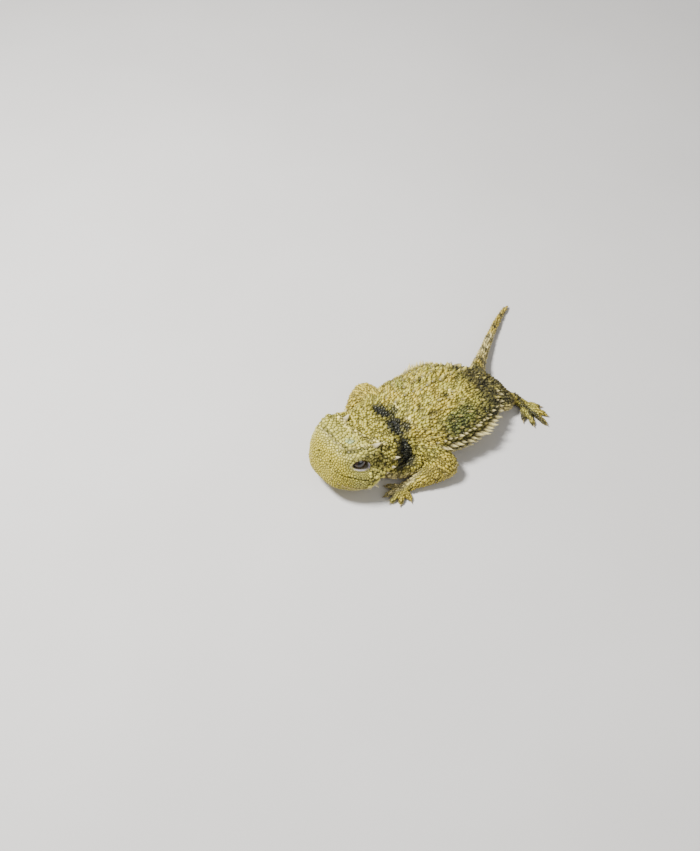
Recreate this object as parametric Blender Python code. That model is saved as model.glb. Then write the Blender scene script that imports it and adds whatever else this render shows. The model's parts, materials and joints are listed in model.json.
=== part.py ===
"""A newborn horned lizard at its real size, resting on its belly with its head raised.

Metres, +Z up. The snout points along -Y and the animal's left is +X. The origin lies on the floor
under the middle of the trunk. A place on the animal is given as (forward, left, up) in millimetres,
which `place` turns into the scene's own metres.

The trunk, neck, head, tail and limbs are lofts along named sections. Neighbours meet face to face
across CUT_GAP: the ends of the trunk, neck, head and tail are parallel flats, and each limb is cut
to the trunk and to its own next length. Horns, fringe spines, tubercles, lids and claws grow from
those nodes and are fused with them.
"""

import math
import random
from dataclasses import dataclass

import bmesh
import bpy
from mathutils import Matrix, Vector
from mathutils.bvhtree import BVHTree

MM = 0.001
CUT_GAP = 0.3
SEED = 11

# Trunk: forward, left of its middle line, half width, back height, underside height, height of
# the fringed edge. An underside below 0 is flattened on the floor.
TRUNK_SECTIONS = (
    (-7.5, -1.60, 0.85, 2.35, 0.75, 1.50),
    (-6.9, -1.20, 1.60, 2.85, 0.40, 1.60),
    (-6.2, -0.85, 2.65, 3.40, 0.05, 1.65),
    (-5.2, -0.50, 3.95, 4.00, -0.25, 1.70),
    (-3.8, -0.15, 5.00, 4.60, -0.45, 1.75),
    (-2.0, -0.05, 5.55, 5.05, -0.55, 1.80),
    (0.0, -0.10, 5.70, 5.30, -0.60, 1.85),
    (1.8, -0.33, 5.48, 5.28, -0.55, 1.95),
    (3.4, -0.70, 5.34, 5.10, -0.40, 2.10),
    (4.8, -0.90, 4.88, 4.85, -0.05, 2.30),
    (5.9, -1.00, 4.15, 4.60, 0.45, 2.50),
    (6.6, -1.04, 3.66, 4.45, 0.80, 2.60),
)
TRUNK_REAR, TRUNK_FRONT = -7.5, 6.2
TRUNK_SIDES = 36
TRUNK_RINGS = 23
BACK_ROUNDNESS = 0.9  # under 1 squares the back and belly off a little
HEADING_STEP = 0.2  # how far before and behind a station its heading is read

# Tail: forward, left, up of its centreline, half width, half height. Its first section follows
# the trunk's rear end.
TAIL_SECTIONS = (
    (-7.76, -1.76, 1.44, 0.80, 0.78),
    (-8.55, -2.38, 1.25, 0.71, 0.68),
    (-9.50, -3.03, 1.05, 0.62, 0.58),
    (-10.6, -3.72, 0.88, 0.54, 0.51),
    (-12.7, -5.05, 0.66, 0.45, 0.43),
    (-15.0, -6.35, 0.50, 0.37, 0.36),
    (-16.8, -7.25, 0.38, 0.30, 0.29),
    (-17.9, -7.70, 0.29, 0.25, 0.25),
)
TAIL_SPLIT = 5.4  # distance along the tail of the cut between its base and its end
TAIL_SIDES = 12
TAIL_TIP_LENGTH = 0.45

# Head sections from the occiput to the snout, in the head's own frame, with the mouth at 0:
# along, crown height, brow half width, brow height, temple half width, cheek half width,
# jaw half width, chin height.
HEAD_SECTIONS = (
    (0.00, 2.30, 2.50, 2.12, 3.20, 3.60, 3.12, -1.55),
    (0.75, 2.38, 3.10, 2.38, 3.66, 4.40, 4.00, -2.02),
    (1.35, 2.42, 3.40, 2.64, 3.82, 4.74, 4.44, -2.32),
    (1.90, 2.48, 3.54, 2.78, 3.80, 4.76, 4.50, -2.46),
    (2.45, 2.52, 3.60, 2.80, 3.66, 4.60, 4.34, -2.54),
    (3.14, 2.50, 3.50, 2.68, 3.48, 4.24, 4.00, -2.60),
    (3.74, 2.42, 3.26, 2.50, 3.32, 3.80, 3.58, -2.66),
    (4.14, 2.30, 3.02, 2.28, 3.14, 3.42, 3.20, -2.68),
    (4.46, 2.06, 2.66, 2.00, 2.86, 3.08, 2.84, -2.66),
    (4.74, 1.74, 2.24, 1.66, 2.50, 2.74, 2.50, -2.54),
    (4.97, 1.34, 1.76, 1.26, 2.06, 2.34, 2.14, -2.28),
    (5.14, 0.92, 1.24, 0.80, 1.54, 1.80, 1.70, -1.88),
)
HEAD_SNOUT_TIP = (5.24, -0.40)  # along and up
HEAD_RINGS = 22
HEAD_STEPS = 2  # mesh points to each stretch of a section's outline
JAW_FULLNESS = 0.78  # width of the chin's corner as a share of the jaw's
HEAD_JOINT = (10.3, -0.84, 2.30)  # forward, left, up of the mouth's level at the occiput
HEAD_PITCH, HEAD_ROLL = -21.0, -4.0  # degrees: snout up, left side up

EYE_CENTRE = (2.96, 2.52, 1.24)
EYE_RADIUS = 0.74
LID_RADIUS = 1.30
EYE_OPENING = (0.80, 0.50)  # half its length and half its height
EYE_LOOK = (0.35, 1.0, 0.30)  # the way the opening faces: along, out, up
NOSTRIL = (5.12, 0.95, 0.66)
NOSTRIL_RADIUS = 0.18
EAR_CENTRE = (0.45, 3.98, -0.40)
EAR_RADIUS = 0.36
MOUTH_CORNER = 1.35
MOUTH_HEIGHT = -0.05
MOUTH_LINE_THICKNESS = 0.16
MOUTH_LINE_DEPTH = 0.2
MOUTH_LINE_REACH = 0.6

# Horns and spines of one side of the head: along, out and up of the root, then of the tip, and
# the root's radius.
HEAD_HORNS = (
    ((0.98, 2.42, 2.30), (0.08, 2.66, 2.76), 0.56),
    ((0.25, 3.50, 1.30), (-1.42, 4.52, 1.76), 0.68),
    ((0.45, 3.92, 0.72), (-0.78, 4.86, 0.88), 0.66),
    ((0.95, 4.18, 0.22), (0.00, 4.82, 0.34), 0.58),
    ((1.35, 3.98, -1.00), (0.98, 4.84, -1.42), 0.42),
    ((2.25, 4.02, -1.08), (2.08, 4.76, -1.40), 0.36),
)
CHIN_ROW = (2.7, 4.7, 4)  # along of the first and last scale, and how many
CHIN_SCALE = (0.34, 0.26)  # length and root radius
NECK_FRONT_SHARE = 0.88  # the neck's front end as a share of the occiput's width
NECK_BULGE = 0.13  # how much wider the neck is half way, as a share


@dataclass(frozen=True)
class Limb:
    """One limb: its three nodes' names, its joints, its radii at them, and where its digits point."""

    upper: str
    lower: str
    end: str
    root: tuple
    bend: tuple
    wrist: tuple
    palm: tuple
    radii: tuple  # root, middle, bend, calf, wrist
    palm_half_width: float
    digits: tuple  # forward and left of each digit's tip
    digit_radius: float
    spiny_side: tuple  # the way its fringe of pointed scales faces, forward and left


ARM_RADII = (1.55, 1.58, 1.40, 1.22, 0.60)

LIMBS = (
    Limb(
        "upper_arm_left", "forearm_left", "hand_left",
        (4.9, 2.6, 2.40), (4.0, 6.00, 1.36), (7.80, 5.45, 0.68), (8.95, 5.05, 0.38),
        ARM_RADII, 0.70,
        ((9.25, 6.65), (10.35, 6.35), (11.00, 5.55), (10.95, 4.60), (10.10, 3.75)),
        0.28, (-0.5, 1.0),
    ),
    Limb(
        "upper_arm_right", "forearm_right", "hand_right",
        (5.1, -3.9, 2.40), (4.75, -6.95, 1.36), (7.45, -6.35, 0.68), (8.50, -5.75, 0.38),
        ARM_RADII, 0.70,
        ((9.05, -7.25), (10.05, -6.95), (10.70, -6.05), (10.45, -5.05), (9.45, -4.45)),
        0.28, (-0.5, -1.0),
    ),
    Limb(
        "thigh_left", "shank_left", "foot_left",
        (-6.5, 0.3, 1.85), (-7.20, 3.45, 1.28), (-8.75, 3.30, 0.64), (-9.20, 4.60, 0.38),
        (1.40, 1.40, 1.10, 0.92, 0.56), 0.62,
        ((-7.75, 6.15), (-8.15, 7.35), (-9.35, 8.10), (-10.25, 7.25), (-10.45, 5.85)),
        0.27, (0.4, 1.0),
    ),
    Limb(
        "thigh_right", "shank_right", "foot_right",
        (-4.4, -3.0, 1.45), (-2.7, -5.10, 1.10), (-4.45, -4.85, 0.62), (-5.35, -4.25, 0.38),
        (1.25, 1.25, 1.10, 0.92, 0.56), 0.60,
        ((-5.85, -5.40), (-6.70, -5.15), (-7.40, -4.45), (-7.25, -3.60), (-6.45, -3.05)),
        0.27, (0.3, -1.0),
    ),
)
LIMB_SIDES = 14
DIGIT_SIDES = 6
CLAW_LENGTH = 0.42
ANKLE_LENGTH = 0.42

FRINGE = (-4.9, 2.7, 0.58)  # forward of its last and first spine, and their spacing
FRINGE_LENGTH, FRINGE_RADIUS = 1.12, 0.29
FRINGE_RISE = (0.06, 0.16)  # angle above the flank's edge of every other spine and of the rest
FRINGE_END_SHARE = 0.55  # length of its first and last spine as a share of the middle ones
TUBERCLE_ROWS = (0.16, 0.36, 0.56, 0.76)  # share of the way from the middle of the back to the edge
TUBERCLE_SPACING = 1.15
TUBERCLE_REACH = (-5.6, 5.4)  # forward of the rows' rear and front ends
TUBERCLE_LENGTH, TUBERCLE_RADIUS = 0.46, 0.30
TAIL_SPINE_LENGTH, TAIL_SPINE_RADIUS, TAIL_SPINE_SPACING = 0.46, 0.25, 0.62
LIMB_SPINE_LENGTH, LIMB_SPINE_RADIUS, LIMB_SPINE_COUNT = 0.46, 0.26, 5
SINK = 0.30  # how deep a spine's root is sunk, in millimetres

# Colour as light values, and roughness.
SKIN_FINISH = ((0.36, 0.32, 0.13), 0.75)
EYE_FINISH = ((0.02, 0.013, 0.01), 0.1)


def place(forward, left, up):
    """A point of the animal, from millimetres forward, left and up, in metres."""
    return Vector((left, -forward, up)) * MM


def head_point(along, out, up):
    """A point of the head, from millimetres along, out to the left and up in the head's own frame."""
    turn = Matrix.Rotation(math.radians(HEAD_PITCH), 4, "X")
    turn = turn @ Matrix.Rotation(math.radians(HEAD_ROLL), 4, "Y")
    return place(*HEAD_JOINT) + turn @ place(along, out, up)


def head_direction(along, out, up):
    """A direction of the head, of length 1."""
    return (head_point(along, out, up) - head_point(0, 0, 0)).normalized()


def eased(table, station):
    """The row of a table at a station between its rows, on smooth curves through them."""
    last = len(table) - 1
    k = next((i for i in range(last) if station <= table[i + 1][0]), last - 1)
    before, low, high, after = (table[max(0, min(i, last))] for i in (k - 1, k, k + 1, k + 2))
    span = high[0] - low[0]
    t = max(0.0, min(1.0, (station - low[0]) / span))
    found = []
    for p, a, b, q in zip(before[1:], low[1:], high[1:], after[1:]):
        slope_a = (b - p) / (high[0] - before[0]) * span
        slope_b = (q - a) / (after[0] - low[0]) * span
        rise = (2 * t**3 - 3 * t**2 + 1) * a + (3 * t**2 - 2 * t**3) * b
        found.append(rise + (t**3 - 2 * t**2 + t) * slope_a + (t**3 - t**2) * slope_b)
    return found


def spread(first, last, count):
    """Evenly spaced numbers from first to last."""
    return [first + (last - first) * i / (count - 1) for i in range(count)]


def signed_power(value, power):
    """The value's size to a power, with its sign kept."""
    return math.copysign(abs(value) ** power, value)


# Meshes

def mesh_object(name, points, faces):
    """A new object from points in metres and faces, with the faces turned outwards."""
    mesh = bpy.data.meshes.new(name)
    mesh.from_pydata([tuple(p) for p in points], [], faces)
    work = bmesh.new()
    work.from_mesh(mesh)
    bmesh.ops.recalc_face_normals(work, faces=work.faces)
    work.to_mesh(mesh)
    work.free()
    obj = bpy.data.objects.new(name, mesh)
    bpy.context.scene.collection.objects.link(obj)
    return obj


def loft(name, rings, root=None, tip=None):
    """A closed body through rings of equal length, each end a flat cap, or a point where one is given."""
    count = len(rings[0])
    points = [p for ring in rings for p in ring]
    faces = []
    for i in range(len(rings) - 1):
        low, high = i * count, (i + 1) * count
        for k in range(count):
            n = (k + 1) % count
            faces.append((low + k, low + n, high + n, high + k))
    for start, point in ((0, root), ((len(rings) - 1) * count, tip)):
        if point is None:
            faces.append(tuple(start + k for k in range(count)))
        else:
            points.append(point)
            faces += [(start + k, start + (k + 1) % count, len(points) - 1) for k in range(count)]
    return mesh_object(name, points, faces)


def circle(centre, side, lift, half_width, half_height, sides, floor=None):
    """A ring of points round a centre, flattened where it would pass below the floor."""
    ring = []
    for k in range(sides):
        a = 2 * math.pi * (k + 0.5) / sides
        p = centre + side * (half_width * MM * math.cos(a)) + lift * (half_height * MM * math.sin(a))
        if floor is not None:
            p.z = max(p.z, floor * MM)
        ring.append(p)
    return ring


def tube(name, path, widths, heights, sides, floor=None, root=None, tip=None):
    """A loft of flattened circles along a path in metres, square to it."""
    rings = []
    for i, point in enumerate(path):
        along = (path[min(i + 1, len(path) - 1)] - path[max(i - 1, 0)]).normalized()
        side = along.cross(Vector((0, 0, 1))).normalized()
        rings.append(circle(point, side, side.cross(along), widths[i], heights[i], sides, floor))
    return loft(name, rings, root, tip)


def with_distance(rows):
    """Rows that begin with forward, left, up, with their distance along the line put first."""
    out, far = [], 0.0
    for i, row in enumerate(rows):
        if i:
            far += (Vector(row[:3]) - Vector(rows[i - 1][:3])).length
        out.append((far, *row))
    return tuple(out)


def spine(root, direction, length, radius, sides=5, bend=Vector((0, 0, 0)), middle=0.62):
    """A pointed spine in millimetres from a root in metres: a sunk ring, a ring half way, and a tip."""
    direction = direction.normalized()
    side = direction.orthogonal().normalized()
    lift = direction.cross(side)
    rings = [circle(root - direction * (SINK * MM), side, lift, radius, radius, sides)]
    if middle:
        half_way = root + (direction * 0.5 + bend * 0.25) * (length * MM)
        rings.append(circle(half_way, side, lift, radius * middle, radius * middle, sides))
    return loft("spine", rings, tip=root + (direction + bend) * (length * MM))


# Joining and cutting

def apply_modifiers(obj):
    """Turns the object's evaluated shape into its own mesh."""
    graph = bpy.context.evaluated_depsgraph_get()
    mesh = bpy.data.meshes.new_from_object(obj.evaluated_get(graph))
    obj.modifiers.clear()
    old = obj.data
    obj.data = mesh
    bpy.data.meshes.remove(old)


def combine(core, pieces, operation):
    """Fuses the pieces into core, or cuts them out of it, and removes them."""
    if not pieces:
        return core
    group = bpy.data.collections.new("pieces")
    bpy.context.scene.collection.children.link(group)
    for piece in pieces:
        bpy.context.scene.collection.objects.unlink(piece)
        group.objects.link(piece)
    change = core.modifiers.new("change", "BOOLEAN")
    change.operation = operation
    change.operand_type = "COLLECTION"
    change.collection = group
    change.solver = "MANIFOLD" if operation == "UNION" else "EXACT"
    apply_modifiers(core)
    for piece in list(group.objects):
        bpy.data.objects.remove(piece)
    bpy.data.collections.remove(group)
    return keep_largest(core)


def keep_largest(obj):
    """Keeps the object's largest closed surface, and drops loose scraps and sealed hollows."""
    work = bmesh.new()
    work.from_mesh(obj.data)
    unseen, islands = set(work.verts), []
    while unseen:
        start = unseen.pop()
        island, edge = {start}, [start]
        while edge:
            for link in edge.pop().link_edges:
                for vert in link.verts:
                    if vert not in island:
                        island.add(vert)
                        edge.append(vert)
        unseen -= island
        islands.append(island)
    largest = max(islands, key=len)
    bmesh.ops.delete(work, geom=[v for v in work.verts if v not in largest], context="VERTS")
    work.to_mesh(obj.data)
    work.free()
    return obj


def surface_of(obj):
    """A search tree over the object's faces."""
    return BVHTree.FromObject(obj, bpy.context.evaluated_depsgraph_get())


def is_clear(root, direction, length, radius, neighbours):
    """Whether a spine keeps CUT_GAP from every neighbour's surface."""
    for share in (0.0, 0.5, 1.0):
        point = root + direction * (length * share * MM)
        reach = (radius * (1 - share) + CUT_GAP) * MM
        for tree in neighbours:
            if tree.find_nearest(point, reach)[0] is not None:
                return False
    return True


# Trunk

def trunk_heading(forward):
    """The angle of the trunk's middle line at a station, positive to the left."""
    ahead = eased(TRUNK_SECTIONS, forward + HEADING_STEP)[0]
    behind = eased(TRUNK_SECTIONS, forward - HEADING_STEP)[0]
    return math.atan((ahead - behind) / (2 * HEADING_STEP))


def trunk_point(forward, angle, grow=0.0):
    """A point of the trunk's skin: angle 0 is its left edge, a quarter turn the middle of its back."""
    middle, half, back, under, edge = eased(TRUNK_SECTIONS, forward)
    out = (half + grow) * math.cos(angle)
    rise = (back - edge if math.sin(angle) > 0 else edge - under) + grow
    up = max(edge + rise * signed_power(math.sin(angle), BACK_ROUNDNESS), -grow)
    heading = trunk_heading(forward)
    return place(forward - out * math.sin(heading), middle + out * math.cos(heading), up)


def trunk_body(name, grow=0.0):
    """The trunk's loft, grown by a margin where it serves as a cutter."""
    rings = [
        [trunk_point(s, 2 * math.pi * k / TRUNK_SIDES, grow) for k in range(TRUNK_SIDES)]
        for s in spread(TRUNK_REAR - grow, TRUNK_FRONT + grow, TRUNK_RINGS)
    ]
    return loft(name, rings)


def trunk_normal(forward, angle):
    """The outward direction of the trunk's skin at a point."""
    step = 0.02
    across = trunk_point(forward, angle + step) - trunk_point(forward, angle - step)
    along = trunk_point(forward + step, angle) - trunk_point(forward - step, angle)
    normal = across.cross(along).normalized()
    outward = trunk_point(forward, angle) - trunk_point(forward, angle + math.pi)
    return normal if normal.dot(outward) > 0 else -normal


def trunk_spines(neighbours):
    """The fringe along both flanks and the rows of tubercles over the back."""
    draw = random.Random(SEED)
    pieces = []
    last, first, spacing = FRINGE
    rear, front = TUBERCLE_REACH
    for side_angle, left in ((0.0, 1), (math.pi, -1)):
        for k, forward in enumerate(spread(last, first, round((first - last) / spacing) + 1)):
            angle = side_angle + left * FRINGE_RISE[k % 2]
            root = trunk_point(forward, angle)
            way = trunk_normal(forward, angle) + place(-0.5, 0, 0.12) / MM
            way.normalize()
            from_middle = abs(2 * (forward - last) / (first - last) - 1)
            share = 1 - (1 - FRINGE_END_SHARE) * from_middle
            length = FRINGE_LENGTH * share * draw.uniform(0.9, 1.1)
            if is_clear(root, way, length, FRINGE_RADIUS, neighbours):
                pieces.append(spine(root, way, length, FRINGE_RADIUS))
        for row, share in enumerate(TUBERCLE_ROWS):
            for k in range(round((front - rear) / TUBERCLE_SPACING)):
                forward = rear + (k + 0.5 * (row % 2)) * TUBERCLE_SPACING + draw.uniform(-0.15, 0.15)
                angle = side_angle + left * (1 - share + draw.uniform(-0.02, 0.02)) * math.pi / 2
                root = trunk_point(forward, angle)
                way = trunk_normal(forward, angle) + place(-0.75, 0, 0) / MM
                way.normalize()
                size = draw.uniform(0.8, 1.1)
                length, radius = TUBERCLE_LENGTH * size, TUBERCLE_RADIUS * size
                if forward < TRUNK_FRONT - 0.7 and is_clear(root, way, length, radius, neighbours):
                    pieces.append(spine(root, way, length, radius, middle=None))
    return pieces


# Head and neck

def smooth_half(outline, steps):
    """Points on a curve through half an outline whose two ends lie on the middle plane."""
    mirrored = [(-outline[1][0], outline[1][1]), *outline, (-outline[-2][0], outline[-2][1])]
    points = []
    for i in range(1, len(mirrored) - 2):
        p, a, b, q = mirrored[i - 1:i + 3]
        for k in range(steps):
            t = k / steps
            points.append(tuple(
                0.5 * (2 * a[c] + (b[c] - p[c]) * t + (2 * p[c] - 5 * a[c] + 4 * b[c] - q[c]) * t**2
                       + (3 * a[c] - p[c] - 3 * b[c] + q[c]) * t**3)
                for c in (0, 1)
            ))
    return points + [tuple(outline[-1])]


def head_section(along):
    """Half the head's outline at a station, from the crown round to the chin, as (out, up)."""
    crown, brow, brow_up, temple, cheek, jaw, chin = eased(HEAD_SECTIONS, along)
    return (
        (0.0, crown),
        (brow * 0.55, crown + (brow_up - crown) * 0.25),
        (brow, brow_up),
        (max(brow * 0.97 + 0.05, (brow + temple) / 2), brow_up - 0.42),
        (temple, brow_up * 0.52),
        (cheek * 0.97, brow_up * 0.24),
        (cheek, 0.12),
        (jaw + (cheek - jaw) * 0.45, chin * 0.42),
        (jaw * JAW_FULLNESS, chin * 0.88),
        (0.0, chin),
    )


def head_ring(along, shrink=1.0):
    """The head's whole outline at a station, as points in metres."""
    half = smooth_half(head_section(along), HEAD_STEPS)
    around = half + [(-out, up) for out, up in half[-2:0:-1]]
    return [head_point(along, out * shrink, up) for out, up in around]


def head_body():
    """The head's loft, from the flat of the occiput to the blunt snout."""
    last = HEAD_SECTIONS[-1][0]
    rings = [head_ring(s) for s in spread(0.0, last, HEAD_RINGS)]
    return loft("head", rings, tip=head_point(HEAD_SNOUT_TIP[0], 0, HEAD_SNOUT_TIP[1]))


def ball(name, centre, radius, segments=14, rings=9):
    """A ball round a centre in metres."""
    work = bmesh.new()
    bmesh.ops.create_uvsphere(work, u_segments=segments, v_segments=rings, radius=radius * MM)
    bmesh.ops.translate(work, verts=work.verts, vec=centre)
    mesh = bpy.data.meshes.new(name)
    work.to_mesh(mesh)
    work.free()
    obj = bpy.data.objects.new(name, mesh)
    bpy.context.scene.collection.objects.link(obj)
    return obj


def mouth_cutter():
    """A thin plate round the snout, whose inner edge lies MOUTH_LINE_DEPTH inside the lips."""
    outline = []
    for along in spread(MOUTH_CORNER, HEAD_SECTIONS[-1][0], 9):
        cheek = eased(HEAD_SECTIONS, along)[4]
        outline.append((along, cheek))
    outline.append((HEAD_SNOUT_TIP[0], 0.42))
    outline = outline + [(along, -out) for along, out in reversed(outline)]
    rings = []
    for i, (along, out) in enumerate(outline):
        ahead, behind = outline[min(i + 1, len(outline) - 1)], outline[max(i - 1, 0)]
        way = Vector((ahead[0] - behind[0], ahead[1] - behind[1])).normalized()
        normal = Vector((-way.y, way.x))
        if normal.dot(Vector((along - 3.0, out))) < 0:
            normal = -normal
        ring = []
        for reach, rise in ((-1, -1), (1, -1), (1, 1), (-1, 1)):
            far = MOUTH_LINE_REACH if reach > 0 else -MOUTH_LINE_DEPTH
            up = MOUTH_HEIGHT + rise * MOUTH_LINE_THICKNESS / 2
            ring.append(head_point(along + normal.x * far, out + normal.y * far, up))
        rings.append(ring)
    return loft("mouth", rings)


def side_point(point, side):
    """A point of the head's frame on its left (side 1) or right (side -1), in metres."""
    return head_point(point[0], side * point[1], point[2])


def eye_opening(side):
    """The cutter of the oval opening between one eye's lids, wider towards the outside."""
    centre = side_point(EYE_CENTRE, side)
    look = head_direction(EYE_LOOK[0], side * EYE_LOOK[1], EYE_LOOK[2])
    length = look.cross(head_direction(0, 0, 1)).normalized()
    lift = length.cross(look)
    half_length, half_height = EYE_OPENING
    rings = [
        circle(centre + look * (far * MM), length, lift, half_length * widen, half_height * widen, 14)
        for far, widen in ((0.1, 0.9), (LID_RADIUS, 1.0), (LID_RADIUS + 0.6, 1.3))
    ]
    return loft("opening", rings)


def head_forms():
    """Horns, lids and chin scales, on both sides."""
    pieces = []
    for side in (1, -1):
        for root, tip, radius in HEAD_HORNS:
            start, end = side_point(root, side), side_point(tip, side)
            pieces.append(spine(start, end - start, (end - start).length / MM, radius, 6, middle=0.66))
        pieces.append(ball("lids", side_point(EYE_CENTRE, side), LID_RADIUS, 18, 12))
        first, last, count = CHIN_ROW
        for along in spread(first, last, count):
            section = eased(HEAD_SECTIONS, along)
            root = head_point(along, side * (section[5] * 0.97), section[6] * 0.66)
            way = head_direction(-0.55, side * 1.0, -0.45)
            pieces.append(spine(root, way, CHIN_SCALE[0], CHIN_SCALE[1], middle=None))
    return pieces


def build_head():
    """The head with its eye sockets, mouth line, nostrils and ears, and the two eyes."""
    head = combine(head_body(), head_forms(), "UNION")
    cutters = [mouth_cutter()]
    eyes = []
    for side, name in ((1, "eye_left"), (-1, "eye_right")):
        centre = side_point(EYE_CENTRE, side)
        cutters.append(ball("socket", centre, EYE_RADIUS + CUT_GAP, 16, 10))
        cutters.append(eye_opening(side))
        eyes.append(ball(name, centre, EYE_RADIUS))
        cutters.append(ball("nostril", side_point(NOSTRIL, side), NOSTRIL_RADIUS, 8, 6))
        cutters.append(ball("ear", side_point(EAR_CENTRE, side), EAR_RADIUS, 10, 7))
    return [combine(head, cutters, "DIFFERENCE"), *eyes]


def neck_body(name, grow=0.0):
    """The short neck between the trunk's front and the occiput, with a flat end to each, grown by
    a margin where it serves as a cutter."""
    count = len(head_ring(0.0))
    quarter = count // 4
    turns = [math.pi / 2 - 2 * math.pi * k / count for k in range(count)]
    behind = [trunk_point(TRUNK_FRONT, turn, grow) for turn in turns]
    ahead = head_ring(0.0, NECK_FRONT_SHARE + grow / HEAD_SECTIONS[0][5])
    away = place(math.cos(trunk_heading(TRUNK_FRONT)), math.sin(trunk_heading(TRUNK_FRONT)), 0)
    back = head_direction(-1, 0, 0)
    rings = []
    for share in spread(0.0, 1.0, 5):
        swell = 1 + NECK_BULGE * math.sin(math.pi * share)
        centre = (behind[0] + behind[2 * quarter]).lerp(ahead[0] + ahead[2 * quarter], share) / 2
        ring = []
        for start, end in zip(behind, ahead):
            middle = (start + away * (CUT_GAP - grow)).lerp(end + back * (CUT_GAP * MM), share)
            ring.append(centre + (middle - centre) * swell if 0 < share < 1 else middle)
        rings.append(ring)
    return loft(name, rings)


# Tail

def tail_length(name, first, last, rings, tip=False):
    """A length of the tail between two distances along it."""
    table = with_distance(TAIL_SECTIONS)
    rows = [eased(table, s) for s in spread(first, last, rings)]
    path = [place(*row[:3]) for row in rows]
    end = path[-1] + (path[-1] - path[-2]).normalized() * (TAIL_TIP_LENGTH * MM) if tip else None
    if end:
        end.z = max(end.z, 0.1 * MM)
    return tube(name, path, [r[3] for r in rows], [r[4] for r in rows], TAIL_SIDES, 0.0, tip=end)


def tail_spines(first, last):
    """Pointed scales along both edges of a length of the tail."""
    table = with_distance(TAIL_SECTIONS)
    pieces = []
    for s in spread(first, last, max(2, round((last - first) / TAIL_SPINE_SPACING))):
        here, ahead = eased(table, s), eased(table, s + 0.1)
        back = (place(*ahead[:3]) - place(*here[:3])).normalized()
        side = back.cross(Vector((0, 0, 1))).normalized()
        size = 0.55 + 0.45 * here[3] / TAIL_SECTIONS[0][3]
        for way in (side, -side):
            root = place(*here[:3]) + way * (here[3] * MM)
            lean = (way * 0.9 + back * 0.75 + Vector((0, 0, 0.2))).normalized()
            root -= lean * (0.05 * MM)
            pieces.append(spine(root, lean, TAIL_SPINE_LENGTH * size, TAIL_SPINE_RADIUS * size, middle=None))
    return pieces


def build_tail():
    """The tail's base and end."""
    whole = with_distance(TAIL_SECTIONS)[-1][0]
    base = tail_length("tail_base", 0.0, TAIL_SPLIT, 9)
    end = tail_length("tail_end", TAIL_SPLIT + CUT_GAP, whole, 9, tip=True)
    combine(base, tail_spines(0.5, TAIL_SPLIT - 0.5), "UNION")
    combine(end, tail_spines(TAIL_SPLIT + CUT_GAP + 0.35, whole - 0.6), "UNION")
    return [base, end]


# Limbs

def limb_upper(limb):
    """The upper length, from inside the trunk to the bend."""
    root, bend = place(*limb.root), place(*limb.bend)
    path = [root.lerp(bend, s) for s in spread(0, 1, 6)]
    rows = ((0.0, limb.radii[0]), (0.5, limb.radii[1]), (1.0, limb.radii[2] * 0.95))
    radii = [eased(rows, s)[0] for s in spread(0, 1, 6)]
    return tube(limb.upper, path, radii, radii, LIMB_SIDES, 0.0)


def limb_lower(limb, grow=0.0):
    """The lower length, with a rounded bend and a flat wrist, grown where it serves as a cutter."""
    bend, wrist = place(*limb.bend), place(*limb.wrist)
    along = (wrist - bend).normalized()
    radius = limb.radii[2] + grow
    path, radii = [], []
    for turn in (75, 50, 25):
        path.append(bend - along * (radius * MM * math.sin(math.radians(turn))))
        radii.append(radius * math.cos(math.radians(turn)))
    rows = ((0.0, limb.radii[2]), (0.4, limb.radii[3]), (1.0, limb.radii[4]))
    for share in spread(0, 1, 7):
        path.append(bend.lerp(wrist, share))
        radii.append(eased(rows, share)[0] + grow)
    return tube(limb.lower, path, radii, radii, LIMB_SIDES, -grow, root=bend - along * (radius * MM))


def limb_spines(limb, tree, neighbours):
    """A fringe of pointed scales along the lower length, on its spiny side."""
    bend, wrist = place(*limb.bend), place(*limb.wrist)
    back = (bend - wrist).normalized()
    outward = place(limb.spiny_side[0], limb.spiny_side[1], 0).normalized()
    pieces = []
    for share in spread(-0.12, 0.78, LIMB_SPINE_COUNT):
        middle = bend.lerp(wrist, share)
        found = tree.ray_cast(middle + outward * 5 * MM, -outward)[0]
        way = (outward + back * 0.8 + Vector((0, 0, 0.15))).normalized()
        root = found + outward * (0.02 * MM)
        if is_clear(root, way, LIMB_SPINE_LENGTH, LIMB_SPINE_RADIUS, neighbours):
            pieces.append(spine(root, way, LIMB_SPINE_LENGTH, LIMB_SPINE_RADIUS, middle=None))
    return pieces


def limb_end(limb):
    """The hand or foot: a flattened palm on the floor, five digits and their claws."""
    bend, wrist, palm = place(*limb.bend), place(*limb.wrist), place(*limb.palm)
    along = (wrist - bend).normalized()
    start = wrist + along * (CUT_GAP * MM)
    ankle = start + along * (ANKLE_LENGTH * MM)
    front = palm + (palm - wrist).normalized() * (0.35 * MM)
    front.z = 0.28 * MM
    path = [start, ankle, ankle.lerp(palm, 0.5), palm, front]
    wide, thin = limb.palm_half_width, limb.radii[4]
    body = tube(
        limb.end, path, (thin, thin, (wide + thin) / 2, wide, wide * 0.6),
        (thin, thin, thin * 0.8, 0.38, 0.26), 10, 0.0,
    )
    pieces = []
    for forward, left in limb.digits:
        tip = place(forward, left, 0.2)
        base = palm.lerp(tip, 0.12)
        knuckle = palm.lerp(tip, 0.55)
        base.z, knuckle.z = 0.34 * MM, 0.40 * MM
        r = limb.digit_radius
        pieces.append(tube(
            "digit", [base, knuckle, tip.lerp(knuckle, 0.15), tip], (r, r, r * 0.92, r * 0.7),
            (r, r, r * 0.85, r * 0.62), DIGIT_SIDES, 0.0,
        ))
        way = (tip - knuckle).normalized()
        way.z = -0.12
        claw_root = tip - way * (0.12 * MM)
        pieces.append(spine(claw_root, way, CLAW_LENGTH, r * 0.62, sides=4, middle=None))
    return combine(body, pieces, "UNION")


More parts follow.
